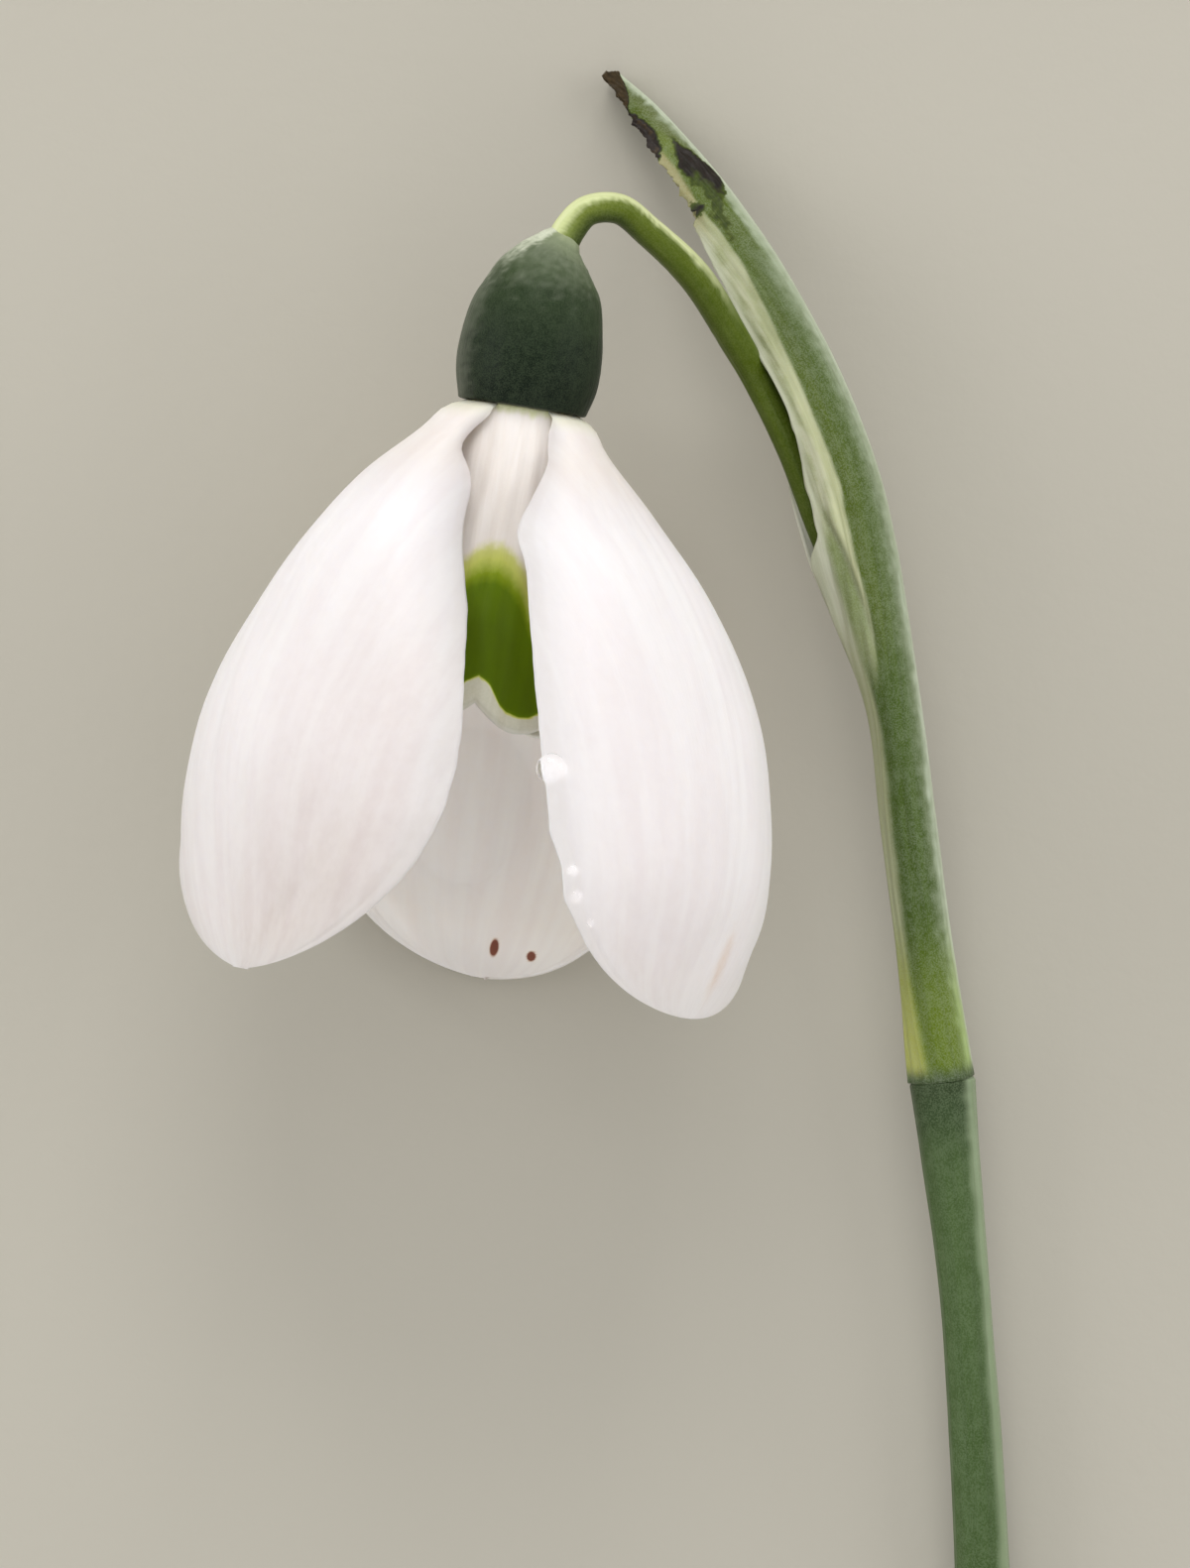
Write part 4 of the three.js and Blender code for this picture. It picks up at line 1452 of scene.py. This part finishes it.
SCAPE = Scape(
    name="stem",
    rows=(
        (17.17, -27.42, 3.0, 1.34), (17.45, -30.0, 2.85, 1.22), (18.1, -36.0, 2.5, 1.03),
        (18.6, -43.0, 2.15, 1.08), (19.05, -52.0, 1.75, 1.18), (19.76, -66.1, 1.27, 1.27),
    ),
    steps=260,
    sides=84,
    start=((-0.3, 0.0), (-0.3, 0.84), (-0.2, 0.9), (-0.12, 0.95), (-0.04, 0.99)),
    end=((0.03, 0.985), (0.04, 0.95), (0.02, 0.9), (-0.03, 0.84), (-0.05, 0.7), (-0.06, 0.4), (-0.06, 0.0)),
)


@dataclass(frozen=True)
class StamenRing:
    """Six stamens round a style, from the receptacle down into the inner petals.

    filament, anther and style are their radii in even steps down.
    """

    count: int = 6
    start: float = 0.15
    ring: float = 0.98
    bow: float = 0.12
    length: float = 7.4
    filament: Numbers = (0.24, 0.19, 0.16, 0.15)
    anther: Numbers = (0.2, 0.42, 0.48, 0.47, 0.43, 0.36, 0.26, 0.13, 0.04)
    anther_from: float = 0.2
    overlap: float = 0.03
    style: Numbers = (0.36, 0.34, 0.32, 0.3, 0.27, 0.22, 0.1)
    style_length: float = 9.2

    # steps and sides of the round pieces, and the profiles of their ends
    THREAD = (12, 14)
    POINTED: ClassVar[Profile] = ((0.0, 0.0), (0.01, 0.5), (0.03, 0.8))
    POINTED_END: ClassVar[Profile] = ((0.0, 0.7), (0.02, 0.35), (0.03, 0.0))
    POLLEN = (44, 24, POINTED, POINTED_END)
    STYLE = (40, 20, POINTED, POINTED_END)

    def rows(self, azimuth: float, low: float, high: float, radii: Sequence[float]) -> Rows:
        """Rows along one stamen between two shares of its length."""
        found = []
        for i, radius in enumerate(radii):
            along = low + (high - low) * i / (len(radii) - 1)
            ring = self.ring + self.bow * sin(pi * along)
            found.append((*bloom_point(azimuth, ring, 0.0, self.start + along * self.length), radius))
        return tuple(found)

    def build(self, white: Material, yellow: Material) -> None:
        """Makes the filaments, the anthers and the style.

        Args:
            white: finish of the filaments and the style.
            yellow: finish of the anthers.
        """
        for i in range(self.count):
            azimuth = 360.0 * (i + 0.5) / self.count
            foot = self.rows(azimuth, 0.0, self.anther_from + self.overlap, self.filament)
            body = self.rows(azimuth, self.anther_from, 1.0, self.anther)
            thread = Filament(f"filament_{i + 1}", foot, *self.THREAD)
            pollen = Anther(f"anther_{i + 1}", body, *self.POLLEN)
            for piece, finish in ((thread, white), (pollen, yellow)):
                settle(piece.build(), finish, Slot.ANTHER, f"stamen_{i + 1}")
        last = len(self.style) - 1
        middle = tuple(
            (*bloom_point(0.0, 0.0, 0.0, self.start + self.style_length * i / last), radius)
            for i, radius in enumerate(self.style)
        )
        settle(Pistil("pistil", middle, *self.STYLE).build(), white, Slot.STYLE, "style")


PETAL_FINISH = SkinFinish(
    name="petal_white",
    streaks=Streaks(tint(240, 234, 236), 0.34, spacing=1.1, length=9.0, height=0.008),
    wax=Wax(tint(253, 251, 252), 0.07, grain=0.5),
    roughness=(0.5, 0.62),
    marking=Marking(
        stops((0.0, 226, 204, 184), (0.45, 206, 172, 144), (0.9, 120, 66, 48)), edge=1.0, ragged=0.2
    ),
    cells=(0.1, 0.004),
    glow=(1.0, 0.75),
    specular=0.35,
)
INNER_FINISH = SkinFinish(
    name="petal_cream_and_green",
    streaks=Streaks(tint(226, 220, 212), 0.34, spacing=0.5, length=5.0),
    wax=Wax(tint(240, 238, 230), 0.16, grain=0.1),
    roughness=(0.42, 0.56),
    marking=Marking(
        stops(
            (0.0, 222, 220, 160), (0.26, 200, 207, 108), (0.43, 136, 158, 28), (0.55, 98, 125, 4),
            (1.0, 86, 110, 3),
        ),
        edge=0.18,
        ragged=0.08,
    ),
    cells=(0.06, 0.005),
    glow=(0.7, 0.45),
    specular=0.1,
)
OVARY_FINISH = SkinFinish(
    name="seed_pod_green",
    streaks=Streaks(tint(204, 210, 198), 0.25, spacing=0.28, length=2.2, height=0.014),
    wax=Wax(tint(104, 120, 90), 0.16, grain=0.045),
    roughness=(0.4, 0.55),
    cells=(0.05, 0.006),
    specular=0.1,
    sheen=0.05,
)
PEDICEL_FINISH = SkinFinish(
    name="flower_stalk_green",
    streaks=Streaks(tint(212, 220, 176), 0.4, spacing=0.2, length=3.0, height=0.01),
    wax=Wax(tint(180, 192, 130), 0.08, grain=0.07),
    roughness=(0.34, 0.48),
    cells=(0.05, 0.005),
    glow=(0.4, 0.12),
    specular=0.16,
)
SCAPE_FINISH = SkinFinish(
    name="stem_green",
    streaks=Streaks(tint(200, 208, 184), 0.36, spacing=0.24, length=16.0, height=0.016),
    wax=Wax(tint(128, 146, 112), 0.24, grain=0.07),
    roughness=(0.4, 0.55),
    cells=(0.05, 0.006),
    specular=0.18,
    sheen=0.05,
)
SPATHE_FINISH = SkinFinish(
    name="spathe_green",
    streaks=Streaks(tint(196, 200, 170), 0.4, spacing=0.26, length=9.0, height=0.022),
    wax=Wax(tint(190, 202, 178), 0.16, grain=0.06),
    roughness=(0.38, 0.54),
    marking=Marking(
        stops(
            (0.0, 88, 98, 34), (0.2, 58, 72, 16), (0.36, 50, 53, 24), (0.54, 28, 24, 16), (0.76, 36, 27, 22),
            (0.9, 74, 58, 34), (1.0, 54, 42, 20),
        ),
        edge=0.14,
        ragged=0.58,
    ),
    cells=(0.06, 0.008),
    glow=(0.4, 0.1),
    specular=0.2,
    sheen=0.05,
)
ANTHER_FINISH = SkinFinish(
    name="pollen_yellow",
    streaks=Streaks(tint(224, 190, 130), 0.4, spacing=0.2, length=1.5),
    wax=Wax(tint(238, 190, 92), 0.4, grain=0.05),
    roughness=(0.6, 0.75),
    cells=(0.04, 0.01),
)
THREAD_FINISH = SkinFinish(
    name="thread_white",
    streaks=Streaks(tint(220, 220, 200), 0.4, spacing=0.15, length=2.0),
    wax=Wax(tint(240, 240, 228), 0.2),
    roughness=(0.45, 0.55),
    glow=(0.4, 0.2),
)


def main() -> None:
    logging.basicConfig(level=logging.INFO, format="%(message)s")
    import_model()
    effects = Effects()

    for petals, finish, slot in (
        ((PETAL_LEFT, PETAL_RIGHT, PETAL_REAR), PETAL_FINISH, Slot.OUTER_PETAL),
        (INNER_PETALS, INNER_FINISH, Slot.INNER_PETAL),
    ):
        material = finish.make(effects)
        for petal in petals:
            settle(petal.build(), material, slot, petal.node)
    StamenRing().build(THREAD_FINISH.make(effects), ANTHER_FINISH.make(effects))
    for piece, finish, slot in (
        (OVARY, OVARY_FINISH, Slot.OVARY),
        (PEDICEL, PEDICEL_FINISH, Slot.PEDICEL),
        (Spathe(), SPATHE_FINISH, Slot.SPATHE),
        (SCAPE, SCAPE_FINISH, Slot.SCAPE),
    ):
        settle(piece.build(), finish.make(effects), slot, slot.value)
    water = WaterFinish().make()
    for drop in DROPS:
        settle(drop.build(), water, None)
    Studio().build()


if __name__ == "__main__":
    main()
